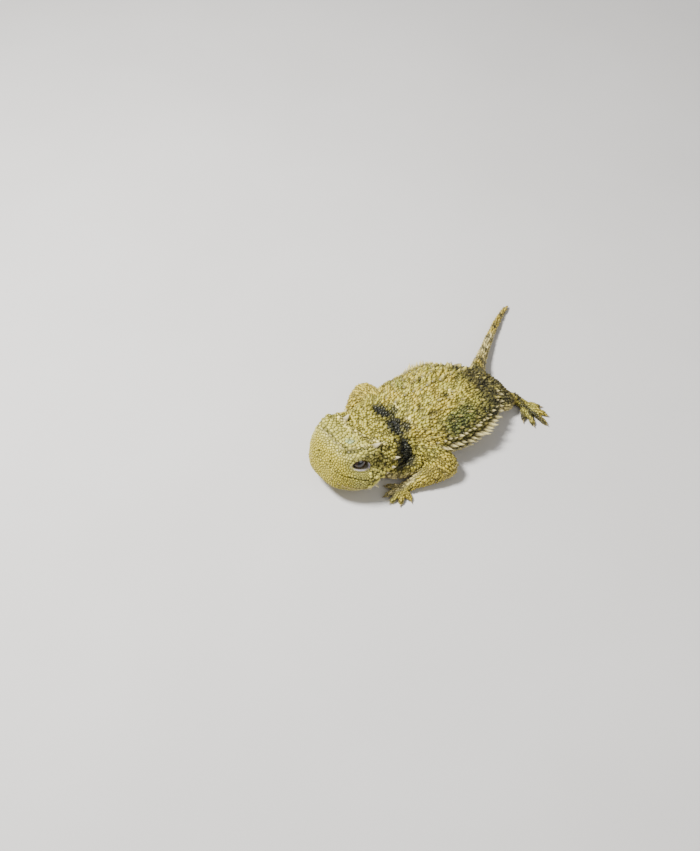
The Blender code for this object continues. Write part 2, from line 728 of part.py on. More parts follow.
def build_limb(limb, torso_tree):
    """The three nodes of one limb, cut clear of the trunk and of one another."""
    lower = combine(limb_lower(limb), [trunk_body("cutter", CUT_GAP)], "DIFFERENCE")
    neighbours = [trunk_body("cutter", CUT_GAP), neck_body("cutter", CUT_GAP), limb_lower(limb, CUT_GAP)]
    upper = combine(limb_upper(limb), neighbours, "DIFFERENCE")
    end = combine(limb_end(limb), [trunk_body("cutter", CUT_GAP)], "DIFFERENCE")
    clear_of = [torso_tree, surface_of(upper), surface_of(end)]
    combine(lower, limb_spines(limb, surface_of(lower), clear_of), "UNION")
    return [upper, lower, end]


# Finishes

def finish(obj, name, colour, roughness):
    """Gives a node its own material and shades it smooth but for its sharp edges."""
    material = bpy.data.materials.new(name)
    material.use_nodes = True
    shader = material.node_tree.nodes["Principled BSDF"]
    shader.inputs["Base Color"].default_value = (*colour, 1)
    shader.inputs["Roughness"].default_value = roughness
    shader.inputs["Metallic"].default_value = 0.0
    obj.data.materials.clear()
    obj.data.materials.append(material)
    obj.data.shade_smooth()
    obj.data.set_sharp_from_angle(angle=math.radians(40))


def build():
    """Builds every node."""
    for obj in list(bpy.data.objects):
        bpy.data.objects.remove(obj)
    torso = trunk_body("torso")
    torso_tree = surface_of(torso)
    flesh = []
    for limb in LIMBS:
        flesh += build_limb(limb, torso_tree)
    head, eye_left, eye_right = build_head()
    flesh += [head, neck_body("neck"), *build_tail()]
    combine(torso, trunk_spines([surface_of(obj) for obj in flesh]), "UNION")
    for obj in (torso, *flesh):
        finish(obj, obj.name + "_skin", *SKIN_FINISH)
    for obj in (eye_left, eye_right):
        finish(obj, obj.name + "_surface", *EYE_FINISH)


if __name__ == "__main__":
    build()
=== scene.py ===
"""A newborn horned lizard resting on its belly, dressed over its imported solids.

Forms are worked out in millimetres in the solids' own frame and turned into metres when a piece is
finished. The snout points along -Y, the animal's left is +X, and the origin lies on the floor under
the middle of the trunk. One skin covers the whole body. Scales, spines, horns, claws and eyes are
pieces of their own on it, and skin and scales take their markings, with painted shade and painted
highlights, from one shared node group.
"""

import json
import logging
import math
import random
from collections.abc import Callable, Iterable, Sequence
from dataclasses import dataclass, field
from enum import Enum

import bmesh
import bpy
import numpy as np
from mathutils import Matrix, Vector
from mathutils.bvhtree import BVHTree
from mathutils.kdtree import KDTree

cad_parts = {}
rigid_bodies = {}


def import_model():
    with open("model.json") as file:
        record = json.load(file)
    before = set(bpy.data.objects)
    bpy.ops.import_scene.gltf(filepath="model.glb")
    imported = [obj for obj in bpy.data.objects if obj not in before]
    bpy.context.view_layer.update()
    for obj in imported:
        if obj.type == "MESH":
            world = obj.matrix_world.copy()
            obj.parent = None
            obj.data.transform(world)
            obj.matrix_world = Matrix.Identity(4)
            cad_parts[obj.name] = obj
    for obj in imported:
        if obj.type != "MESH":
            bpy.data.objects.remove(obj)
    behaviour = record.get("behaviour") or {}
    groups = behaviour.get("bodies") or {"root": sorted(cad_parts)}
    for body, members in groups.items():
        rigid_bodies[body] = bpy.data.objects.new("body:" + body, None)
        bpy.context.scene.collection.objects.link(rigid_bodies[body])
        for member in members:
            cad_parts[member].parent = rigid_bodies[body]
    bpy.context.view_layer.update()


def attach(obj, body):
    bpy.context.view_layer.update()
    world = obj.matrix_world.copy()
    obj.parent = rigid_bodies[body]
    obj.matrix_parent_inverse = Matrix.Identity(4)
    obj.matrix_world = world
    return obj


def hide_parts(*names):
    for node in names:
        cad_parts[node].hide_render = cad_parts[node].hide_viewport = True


log = logging.getLogger("horned_lizard")

MM = 0.001
ROOT_BODY = "root"
BAKE_MAP = "OFBake"
BAKE_PATCH = 0.003
LOWEST = 0.004  # millimetres that every piece stays above the floor
EDGE_STEP = 0.08  # millimetres between the points of a raised edge

Table = Sequence[Sequence[float]]
Array = np.ndarray


# Sizes shared by several classes, in millimetres

# Trunk: forward, left of its middle line, half width, back height, underside height, height of
# the fringed edge.
TRUNK_SECTIONS: Table = (
    (-7.5, -1.60, 0.85, 2.35, 0.75, 1.50),
    (-6.9, -1.20, 1.60, 2.85, 0.40, 1.60),
    (-6.2, -0.85, 2.65, 3.40, 0.05, 1.65),
    (-5.2, -0.50, 3.95, 4.00, -0.25, 1.70),
    (-3.8, -0.15, 5.00, 4.60, -0.45, 1.75),
    (-2.0, -0.05, 5.55, 5.05, -0.55, 1.80),
    (0.0, -0.10, 5.70, 5.30, -0.60, 1.85),
    (1.8, -0.33, 5.48, 5.28, -0.55, 1.95),
    (3.4, -0.70, 5.34, 5.10, -0.40, 2.10),
    (4.8, -0.90, 4.88, 4.85, -0.05, 2.30),
    (5.9, -1.00, 4.15, 4.60, 0.45, 2.50),
    (6.6, -1.04, 3.66, 4.45, 0.80, 2.60),
)
BACK_ROUNDNESS = 0.9

# Tail: forward, left, up of its centreline, half width, half height.
TAIL_SECTIONS: Table = (
    (-6.60, -1.10, 1.75, 1.10, 1.00),
    (-7.76, -1.76, 1.44, 0.80, 0.78),
    (-8.55, -2.38, 1.25, 0.71, 0.68),
    (-9.50, -3.03, 1.05, 0.62, 0.58),
    (-10.6, -3.72, 0.88, 0.54, 0.51),
    (-12.7, -5.05, 0.66, 0.45, 0.43),
    (-15.0, -6.35, 0.50, 0.37, 0.36),
    (-16.8, -7.25, 0.38, 0.30, 0.29),
    (-17.9, -7.70, 0.29, 0.25, 0.25),
    (-18.3, -7.86, 0.24, 0.16, 0.16),
)

# Head, in its own frame with the mouth at 0: along from the occiput, crown height, brow half width,
# brow height, temple half width, cheek half width, jaw half width, chin height.
HEAD_SECTIONS: Table = (
    (0.00, 2.30, 2.50, 2.12, 3.20, 3.60, 3.12, -1.55),
    (0.75, 2.38, 3.10, 2.38, 3.66, 4.40, 4.00, -2.02),
    (1.35, 2.42, 3.40, 2.64, 3.82, 4.74, 4.44, -2.32),
    (1.90, 2.48, 3.54, 2.78, 3.80, 4.76, 4.50, -2.46),
    (2.45, 2.52, 3.60, 2.80, 3.66, 4.60, 4.34, -2.54),
    (3.14, 2.50, 3.50, 2.68, 3.48, 4.24, 4.00, -2.60),
    (3.74, 2.42, 3.26, 2.50, 3.32, 3.80, 3.58, -2.66),
    (4.14, 2.30, 3.02, 2.28, 3.14, 3.42, 3.20, -2.68),
    (4.46, 2.06, 2.66, 2.00, 2.86, 3.08, 2.84, -2.66),
    (4.74, 1.74, 2.24, 1.66, 2.50, 2.74, 2.50, -2.54),
    (4.97, 1.34, 1.76, 1.26, 2.06, 2.34, 2.14, -2.28),
    (5.14, 0.92, 1.24, 0.80, 1.54, 1.80, 1.70, -1.88),
)
SNOUT_TIP = (5.24, -0.40)  # along and up
HEAD_JOINT = (10.3, -0.84, 2.30)  # forward, left, up
HEAD_PITCH, HEAD_ROLL = -21.0, -4.0

EYE_CENTRE = (2.96, 2.52, 1.24)
EYE_LOOK = (0.35, 1.0, 0.30)
EYE_BALL = 1.0
NOSTRIL = (5.12, 0.95, 0.66)
EAR = (0.45, 3.98, -0.40)

FLESH_NODES = (
    "torso", "neck", "head", "tail_base", "tail_end",
    "upper_arm_left", "forearm_left", "hand_left", "upper_arm_right", "forearm_right", "hand_right",
    "thigh_left", "shank_left", "foot_left", "thigh_right", "shank_right", "foot_right",
)


@dataclass(frozen=True)
class Limb:
    """One limb's joints, its radii at them, its digits and the way its spiny edge faces."""

    name: str
    root: tuple[float, float, float]
    bend: tuple[float, float, float]
    wrist: tuple[float, float, float]
    palm: tuple[float, float, float]
    radii: tuple[float, float, float, float, float]
    palm_half_width: float
    digits: tuple[tuple[float, float], ...]
    digit_radius: float
    spiny_side: tuple[float, float]


ARM_RADII = (1.55, 1.58, 1.40, 1.22, 0.60)
LIMBS = (
    Limb(
        "arm_left", (4.9, 2.6, 2.40), (4.0, 6.00, 1.36), (7.80, 5.45, 0.68), (8.95, 5.05, 0.38),
        ARM_RADII, 0.70,
        ((9.25, 6.65), (10.35, 6.35), (11.00, 5.55), (10.95, 4.60), (10.10, 3.75)),
        0.28, (-0.5, 1.0),
    ),
    Limb(
        "arm_right", (5.1, -3.9, 2.40), (4.75, -6.95, 1.36), (7.45, -6.35, 0.68), (8.50, -5.75, 0.38),
        ARM_RADII, 0.70,
        ((9.05, -7.25), (10.05, -6.95), (10.70, -6.05), (10.45, -5.05), (9.45, -4.45)),
        0.28, (-0.5, -1.0),
    ),
    Limb(
        "leg_left", (-6.5, 0.3, 1.85), (-7.20, 3.45, 1.28), (-8.75, 3.30, 0.64), (-9.20, 4.60, 0.38),
        (1.40, 1.40, 1.10, 0.92, 0.56), 0.62,
        ((-7.75, 6.15), (-8.15, 7.35), (-9.35, 8.10), (-10.25, 7.25), (-10.45, 5.85)),
        0.27, (0.4, 1.0),
    ),
    Limb(
        "leg_right", (-4.4, -3.0, 1.45), (-2.7, -5.10, 1.10), (-4.45, -4.85, 0.62), (-5.35, -4.25, 0.38),
        (1.25, 1.25, 1.10, 0.92, 0.56), 0.60,
        ((-5.85, -5.40), (-6.70, -5.15), (-7.40, -4.45), (-7.25, -3.60), (-6.45, -3.05)),
        0.27, (0.3, -1.0),
    ),
)


@dataclass(frozen=True)
class Horn:
    """One horn of the head: its root and tip in the head's frame, and its root's radius."""

    root: tuple[float, float, float]
    tip: tuple[float, float, float]
    radius: float
    bend: float = 0.12


TEMPORAL_HORNS = (
    Horn((0.25, 3.50, 1.30), (-1.42, 4.52, 1.76), 0.68),
    Horn((0.45, 3.92, 0.72), (-0.78, 4.86, 0.88), 0.66),
    Horn((0.95, 4.18, 0.22), (0.00, 4.82, 0.34), 0.58),
)
OTHER_HORNS = (
    Horn((0.98, 2.42, 2.30), (0.08, 2.66, 2.76), 0.50),
    Horn((1.35, 3.98, -1.00), (0.98, 4.84, -1.42), 0.38),
    Horn((2.25, 4.02, -1.08), (2.08, 4.76, -1.40), 0.32),
)


# Places and curves

def place(forward: float, left: float, up: float) -> Array:
    """A point or direction of the animal, from forward, left and up."""
    return np.array((left, -forward, up), float)


def unit(vector: Array) -> Array:
    """A vector, or each row of an array of them, at length 1."""
    return vector / np.maximum(np.linalg.norm(vector, axis=-1, keepdims=True), 1e-9)


def eased(table: Table, station: float) -> Array:
    """The row of a table at a station between its rows, on smooth curves through them.

    Args:
        table: Rows that begin with their station, in rising order.
        station: Where to read it.

    Returns:
        The row's other values there.
    """
    rows = np.asarray(table, float)
    last = len(rows) - 1
    k = int(np.clip(np.searchsorted(rows[:, 0], station) - 1, 0, last - 1))
    before, low, high, after = rows[max(k - 1, 0)], rows[k], rows[k + 1], rows[min(k + 2, last)]
    span = high[0] - low[0]
    t = min(max((station - low[0]) / span, 0.0), 1.0)
    slope_a = (high[1:] - before[1:]) / (high[0] - before[0]) * span
    slope_b = (after[1:] - low[1:]) / (after[0] - low[0]) * span
    rise = (2 * t**3 - 3 * t**2 + 1) * low[1:] + (3 * t**2 - 2 * t**3) * high[1:]
    return rise + (t**3 - 2 * t**2 + t) * slope_a + (t**3 - t**2) * slope_b


def smoothstep(low: float, high: float, value: Array) -> Array:
    """0 below low, 1 above high, and a smooth rise between them."""
    t = np.clip((value - low) / (high - low), 0.0, 1.0)
    return t * t * (3 - 2 * t)


def bell(value: Array, middle: float, half_width: float) -> Array:
    """1 at the middle, falling smoothly to nothing on both sides."""
    return np.exp(-((value - middle) / half_width) ** 2)


def with_distance(rows: Table) -> list[tuple[float, ...]]:
    """Rows that begin with a point, with their distance along the line put first."""
    far, out = 0.0, []
    for i, row in enumerate(rows):
        if i:
            far += float(np.linalg.norm(np.subtract(row[:3], rows[i - 1][:3])))
        out.append((far, *row))
    return out


def resampled(line: Table) -> Array:
    """Close points along a line of (left, forward) points."""
    line = np.array(line, float)
    far = np.concatenate(([0.0], np.cumsum(np.linalg.norm(np.diff(line, axis=0), axis=1))))
    steps = np.arange(0.0, far[-1], EDGE_STEP)
    return np.stack([np.interp(steps, far, line[:, k]) for k in (0, 1)], 1)


class HeadFrame:
    """The head's own frame: along from the occiput, out to the left, and up from the mouth."""

    def __init__(self) -> None:
        """Works out the frame's place and turn from the head's joint, pitch and roll."""
        turn = Matrix.Rotation(math.radians(HEAD_PITCH), 3, "X") @ Matrix.Rotation(
            math.radians(HEAD_ROLL), 3, "Y")
        self.turn = np.array(turn)
        self.origin = place(*HEAD_JOINT)

    def points(self, own: Array) -> Array:
        """Points of the animal's frame from rows of along, out and up."""
        own = np.atleast_2d(own)
        return np.stack((own[:, 1], -own[:, 0], own[:, 2]), 1) @ self.turn.T + self.origin

    def point(self, along: float, out: float, up: float) -> Array:
        """One point of the animal's frame."""
        return self.points(np.array((along, out, up)))[0]

    def sided(self, own: Sequence[float], side: int) -> Array:
        """A point that is given for the left side, on the left with side 1 or the right with -1."""
        return self.point(own[0], side * own[1], own[2])

    def direction(self, along: float, out: float, up: float) -> Array:
        """One direction of the animal's frame, at length 1."""
        return unit(self.point(along, out, up) - self.origin)

    def own(self, points: Array) -> Array:
        """Rows of along, out and up from points of the animal's frame."""
        turned = (points - self.origin) @ self.turn
        return np.stack((-turned[:, 1], turned[:, 0], turned[:, 2]), 1)


HEAD = HeadFrame()


# Meshes

def linked(name: str, mesh: bpy.types.Mesh) -> bpy.types.Object:
    """A new object of a mesh, in the scene."""
    obj = bpy.data.objects.new(name, mesh)
    bpy.context.scene.collection.objects.link(obj)
    return obj


def mesh_object(name: str, points: Array, faces: Sequence[Sequence[int]]) -> bpy.types.Object:
    """A new object in the scene from points and faces.

    Args:
        name: The object's name.
        points: One row for each vertex.
        faces: Vertex numbers of each face.

    Returns:
        The object, with its faces turned outwards.
    """
    mesh = bpy.data.meshes.new(name)
    mesh.from_pydata([tuple(p) for p in points], [], [tuple(f) for f in faces])
    work = bmesh.new()
    work.from_mesh(mesh)
    bmesh.ops.recalc_face_normals(work, faces=work.faces)
    work.to_mesh(mesh)
    work.free()
    return linked(name, mesh)


def loft_faces(rings: int, count: int, start: int = 0, root: bool = True, tip: bool = True) -> list:
    """Faces of a closed body through rings of equal length, whose first points are consecutive.

    Args:
        rings: How many rings.
        count: Points to a ring.
        start: The number of the first point.
        root: Whether the first ring gets a flat cap.
        tip: Whether the last ring gets a flat cap.

    Returns:
        The faces.
    """
    faces = []
    for i in range(rings - 1):
        low, high = start + i * count, start + (i + 1) * count
        faces += [(low + k, low + (k + 1) % count, high + (k + 1) % count, high + k)
                  for k in range(count)]
    if root:
        faces.append(tuple(start + k for k in range(count)))
    if tip:
        faces.append(tuple(start + (rings - 1) * count + k for k in range(count)))
    return faces


def loft(name: str, rings: Sequence[Array]) -> bpy.types.Object:
    """A closed body through rings of equal length with flat ends."""
    return mesh_object(name, np.concatenate(rings), loft_faces(len(rings), len(rings[0])))


def tube(name: str, path: Sequence[Array], widths: Sequence[float], heights: Sequence[float],
         sides: int = 24, floor: float | None = None) -> bpy.types.Object:
    """A loft of flattened circles along a path, with rounded ends.

    Args:
        name: The object's name.
        path: The points that it follows.
        widths: Half its width at each point.
        heights: Half its height at each point.
        sides: Points to a ring.
        floor: The height below which it is flattened.

    Returns:
        The tube.
    """
    rings = []
    last = len(path) - 1
    for i, point in enumerate(path):
        along = unit(path[min(i + 1, last)] - path[max(i - 1, 0)])
        side = unit(np.cross(along, (0.0, 0.0, 1.0)))
        lift = np.cross(side, along)
        stages = ((0.0, 1.0),)
        if i == 0:
            stages = ((-0.95, 0.25), (-0.75, 0.62), (-0.4, 0.9), (0.0, 1.0))
        elif i == last:
            stages = ((0.0, 1.0), (0.4, 0.9), (0.75, 0.62), (0.95, 0.25))
        for far, share in stages:
            turns = 2 * math.pi * (np.arange(sides) + 0.5) / sides
            centre = point + along * (far * heights[i])
            ring = (centre + np.outer(np.cos(turns), side) * widths[i] * share
                    + np.outer(np.sin(turns), lift) * heights[i] * share)
            if floor is not None:
                ring[:, 2] = np.maximum(ring[:, 2], floor)
            rings.append(ring)
    return loft(name, rings)


def points_of(mesh: bpy.types.Mesh) -> Array:
    """A mesh's points, one row each."""
    found = np.empty(len(mesh.vertices) * 3)
    mesh.vertices.foreach_get("co", found)
    return found.reshape(-1, 3)


def normals_of(mesh: bpy.types.Mesh) -> Array:
    """A mesh's vertex normals, one row each."""
    found = np.empty(len(mesh.vertices) * 3)
    mesh.vertices.foreach_get("normal", found)
    return found.reshape(-1, 3)


def move_points(mesh: bpy.types.Mesh, points: Array) -> None:
    """Puts a mesh's points at new places."""
    mesh.vertices.foreach_set("co", points.ravel())
    mesh.update()


def store(mesh: bpy.types.Mesh, name: str, values: Array) -> None:
    """Keeps one number or vector for each vertex as an attribute of the mesh."""
    kind, key = ("FLOAT", "value") if values.ndim == 1 else ("FLOAT_VECTOR", "vector")
    if name in mesh.attributes:
        mesh.attributes.remove(mesh.attributes[name])
    mesh.attributes.new(name, kind, "POINT").data.foreach_set(key, values.ravel().astype(np.float32))


def realized(obj: bpy.types.Object) -> bpy.types.Object:
    """Applies an object's modifiers to its mesh."""
    graph = bpy.context.evaluated_depsgraph_get()
    mesh = bpy.data.meshes.new_from_object(obj.evaluated_get(graph), depsgraph=graph)
    obj.modifiers.clear()
    old, obj.data = obj.data, mesh
    bpy.data.meshes.remove(old)
    mesh.name = obj.name
    return obj


def joined(name: str, parts: Sequence[bpy.types.Object]) -> bpy.types.Object:
    """One object with the meshes of several, which are removed."""
    points, faces, start = [], [], 0
    for part in parts:
        own = points_of(part.data)
        points.append(own)
        faces += [tuple(start + v for v in face.vertices) for face in part.data.polygons]
        start += len(own)
        bpy.data.objects.remove(part)
    mesh = bpy.data.meshes.new(name)
    mesh.from_pydata(np.concatenate(points).tolist(), [], faces)
    return linked(name, mesh)


def to_metres(obj: bpy.types.Object) -> None:
    """Turns a finished piece's millimetres into metres, above the floor, and shades it smooth."""
    points = points_of(obj.data)
    points[:, 2] = np.maximum(points[:, 2], LOWEST)
    move_points(obj.data, points)
    obj.data.transform(Matrix.Scale(MM, 4))
    obj.data.shade_smooth()


# Node trees

class NodeMaker:
    """Adds nodes to one tree: settings first, then the values or links of their sockets."""

    def __init__(self, tree: bpy.types.NodeTree) -> None:
        """Keeps the tree that nodes are added to."""
        self.tree = tree

    def add(self, kind: str, settings: dict | None = None, **values: object) -> bpy.types.Node:
        """A new node.

        Args:
            kind: Its type.
            settings: Its own properties, such as a Math node's operation, or "stops" for a ramp.
            values: Values or links by socket name, with _ for a space, or in0, in1 and so on.

        Returns:
            The node.
        """
        node = self.tree.nodes.new(kind)
        for key, value in (settings or {}).items():
            if key == "stops":
                self._stops(node.color_ramp, value)
            else:
                setattr(node, key, value)
        for key, value in values.items():
            self._put(self._socket(node, key), value)
        return node

    def attribute(self, name: str) -> "Signal":
        """A number that the mesh holds for each vertex."""
        return Signal(self, self.add("ShaderNodeAttribute", {"attribute_name": name}).outputs["Fac"])

    def mix(self, share: object, first: object, second: object, blend: str = "MIX") -> bpy.types.NodeSocket:
        """Two colours mixed, each a socket or a tuple of three light values."""
        first, second = ((*c, 1.0) if isinstance(c, tuple) else c for c in (first, second))
        return self.add("ShaderNodeMix", {"data_type": "RGBA", "blend_type": blend},
                        in0=share, in6=first, in7=second).outputs[2]

    def scaled(self, vector: object, factor: object) -> bpy.types.NodeSocket:
        """A vector or colour times a number."""
        return self.add("ShaderNodeVectorMath", {"operation": "SCALE"}, in0=vector, Scale=factor).outputs[0]

    def millimetres(self) -> bpy.types.NodeSocket:
        """The object's own coordinates in millimetres."""
        return self.scaled(self.add("ShaderNodeTexCoord").outputs["Object"], 1 / MM)

    def finish(self, shader: bpy.types.Node, **values: object) -> None:
        """Links or sets a shader's inputs by name, with _ for a space."""
        for key, value in values.items():
            self._put(shader.inputs[key.replace("_", " ")], value)

    def _socket(self, node: bpy.types.Node, key: str) -> bpy.types.NodeSocket:
        """A node's input by name, or by number where the key is in and a number."""
        if key.startswith("in") and key[2:].isdigit():
            return node.inputs[int(key[2:])]
        name = key.replace("_", " ")
        return next(s for s in node.inputs if s.name == name and s.enabled)

    def _put(self, socket: bpy.types.NodeSocket, value: object) -> None:
        """Sets a socket's value, or links it."""
        if isinstance(value, Signal):
            value = value.socket
        if isinstance(value, bpy.types.NodeSocket):
            self.tree.links.new(value, socket)
        elif value is not None:
            socket.default_value = value

    @staticmethod
    def _stops(ramp: bpy.types.ColorRamp, stops: Iterable[tuple[float, Sequence[float]]]) -> None:
        """Gives a ramp its stops."""
        while len(ramp.elements) > 1:
            ramp.elements.remove(ramp.elements[-1])
        for i, (position, colour) in enumerate(stops):
            element = ramp.elements[0] if i == 0 else ramp.elements.new(position)
            element.position, element.color = position, (*colour[:3], 1.0)


def new_material(name: str) -> tuple[bpy.types.Material, NodeMaker, bpy.types.Node]:
    """A new material, with a maker for its nodes and its main shader."""
    material = bpy.data.materials.new(name)
    material.use_nodes = True
    return material, NodeMaker(material.node_tree), material.node_tree.nodes["Principled BSDF"]


class Signal:
    """A number that changes over a surface, with Python's operators as Math nodes."""

    def __init__(self, maker: NodeMaker, socket: bpy.types.NodeSocket) -> None:
        """Wraps an output socket."""
        self.maker = maker
        self.socket = socket

    def math(self, operation: str, *others: object) -> "Signal":
        """The result of a Math node on this value and others."""
        values = {f"in{i}": value for i, value in enumerate((self, *others))}
        node = self.maker.add("ShaderNodeMath", {"operation": operation}, **values)
        return Signal(self.maker, node.outputs[0])

    def __add__(self, other: object) -> "Signal":
        """Sum."""
        return self.math("ADD", other)

    __radd__ = __add__

    def __sub__(self, other: object) -> "Signal":
        """Difference."""
        return self.math("SUBTRACT", other)

    def __rsub__(self, other: object) -> "Signal":
        """Difference the other way round."""
        node = self.maker.add("ShaderNodeMath", {"operation": "SUBTRACT"}, in0=other, in1=self)
        return Signal(self.maker, node.outputs[0])

    def __mul__(self, other: object) -> "Signal":
        """Product."""
        return self.math("MULTIPLY", other)

    __rmul__ = __mul__

    def rise(self, low: float, high: float) -> "Signal":
        """0 at low, 1 at high, smooth between them. Low may be the larger."""
        start, end, swap = (low, high, False) if low < high else (high, low, True)
        node = self.maker.add(
            "ShaderNodeMapRange", {"interpolation_type": "SMOOTHSTEP"},
            Value=self, From_Min=start, From_Max=end,
            To_Min=1.0 if swap else 0.0, To_Max=0.0 if swap else 1.0)
        return Signal(self.maker, node.outputs[0])


def srgb(red: int, green: int, blue: int) -> tuple[float, float, float]:
    """A colour as light values, from the 0 to 255 numbers of a display."""
    def light(level: int) -> float:
        share = level / 255
        return share / 12.92 if share <= 0.04045 else ((share + 0.055) / 1.055) ** 2.4
    return light(red), light(green), light(blue)


# Markings, with painted shade and painted highlights

@dataclass(frozen=True)
class Mark:
    """One oval mark on the body, seen from above."""

    forward: float
    left: float
    half_length: float
    half_width: float
    turn: float = 0.0  # degrees, from above, anticlockwise
    strength: float = 1.0


class Tone(Enum):
    """The skin's colours."""

    BODY = srgb(158, 150, 58)
    NECK = srgb(144, 134, 44)
    # dark olive of the flanks, also used as painted shade on the left flank, the left temple and beside the
    # crown's edges
    FLANK = srgb(74, 72, 30)
    # dark olive of the rear of the trunk, partly painted shade over its back end
    REAR = srgb(52, 48, 22)
    # pale cream of the pale marks, also used as painted highlight on the scales' ridges and the crown's
    # raised edges
    PALE = srgb(214, 202, 118)
    DARK = srgb(30, 32, 20)
    GREEN = srgb(78, 94, 38)
    # pale green of the painted highlight on the crown's glossy middle
    SPOT = srgb(168, 190, 140)
    BELLY = srgb(200, 186, 128)
    CROWN = srgb(186, 178, 82)
    SNOUT = srgb(180, 166, 48)
    LIMB = srgb(168, 150, 50)
    TAIL = srgb(168, 146, 54)


DARK_MARKS = (
    Mark(6.35, -2.2, 0.95, 1.55, 10),
    Mark(5.5, -1.1, 0.60, 0.85, 0, 0.9),
    Mark(6.5, 0.3, 1.00, 1.55, -15),
    Mark(5.4, 1.2, 0.65, 0.80, 0, 0.95),
    Mark(7.0, 2.8, 0.95, 1.55, -10),
    Mark(7.9, 3.3, 0.75, 0.70, 0, 0.9),
    Mark(0.55, -2.6, 0.38, 0.30, 0, 0.85),
    Mark(-0.2, 1.0, 0.50, 0.42, 0, 0.85),
    Mark(-1.0, 3.3, 0.55, 0.45, 20, 0.7),
    Mark(-2.9, -0.3, 0.45, 0.35, 0, 0.7),
    Mark(3.0, 0.15, 0.30, 0.28, 0, 0.7),
    Mark(2.4, 1.9, 0.48, 0.38, 0, 0.65),
    Mark(3.5, 3.0, 0.36, 0.30, 0, 0.6),
    Mark(0.9, 3.5, 0.40, 0.36, 0, 0.6),
    Mark(-4.6, -1.7, 0.50, 0.45, 0, 0.6),
    Mark(-5.2, 1.6, 0.70, 0.60, 0, 0.6),
)
PALE_MARKS = (
    Mark(4.85, 0.75, 0.22, 0.75, 10),
    Mark(4.75, -1.45, 0.18, 0.60, -5),
    Mark(-0.95, 0.6, 0.20, 0.70, 15, 0.9),
    Mark(-1.55, 3.0, 0.18, 0.50, 15, 0.6),
    Mark(0.0, -2.7, 0.15, 0.40, 0, 0.6),
)
GREEN_MARKS = (
    Mark(0.75, 3.8, 1.5, 1.1, 0, 0.6),
    Mark(-1.0, 3.6, 1.3, 0.9, 0, 0.6),
    Mark(2.2, -3.9, 1.3, 0.9, 0, 0.5),
)
# the crown's glossy middle, painted pale green as its highlight
CROWN_HIGHLIGHT = Mark(11.9, -0.25, 0.60, 0.50, 20, 0.75)
# painted shade on the left temple, under the brow
TEMPLE_SHADE = Mark(10.9, 2.7, 1.9, 1.0, 0, 0.5)

# The dark fold over the nape, seen from above as (left, forward).
NAPE_FOLD: Table = ((-4.2, 6.5), (-2.2, 6.3), (-0.9, 6.1), (0.5, 6.5), (1.8, 6.6), (3.4, 7.4))

# The raised edges of the crown, seen from above as (left, forward): front, left side and rear. The skin is
# raised along them, they are painted pale, partly as a painted highlight, and a line of painted shade lies
# beside each.
CROWN_EDGES = (
    ((-3.4, 13.44), (-1.4, 13.46), (0.63, 13.40)),
    ((0.63, 13.40), (1.0, 12.2), (1.35, 10.5), (1.7, 9.2)),
    ((-4.4, 10.6), (-2.1, 10.9), (0.0, 10.1), (2.0, 9.0)),
)
EDGE_SHADE = 0.34  # how far the dark line lies from each edge


def stroke(line: Table, half_width: float, strength: float,
           shift: tuple[float, float] = (0.0, 0.0)) -> list[Mark]:
    """Long narrow marks that follow a line of (left, forward) points."""
    marks = []
    for (left_a, forward_a), (left_b, forward_b) in zip(line, line[1:]):
        turn = math.degrees(math.atan2(left_a - left_b, forward_a - forward_b))
        half = math.hypot(left_a - left_b, forward_a - forward_b) * 0.55
        marks.append(Mark((forward_a + forward_b) / 2 + shift[1], (left_a + left_b) / 2 + shift[0],
                          half, half_width, turn, strength))
    return marks


TAIL_BANDS = (9.0, 10.75, 12.6, 14.6, 16.4)  # forward of the tail's dark bands, behind the origin
TAIL_BAND_HALF = 0.36


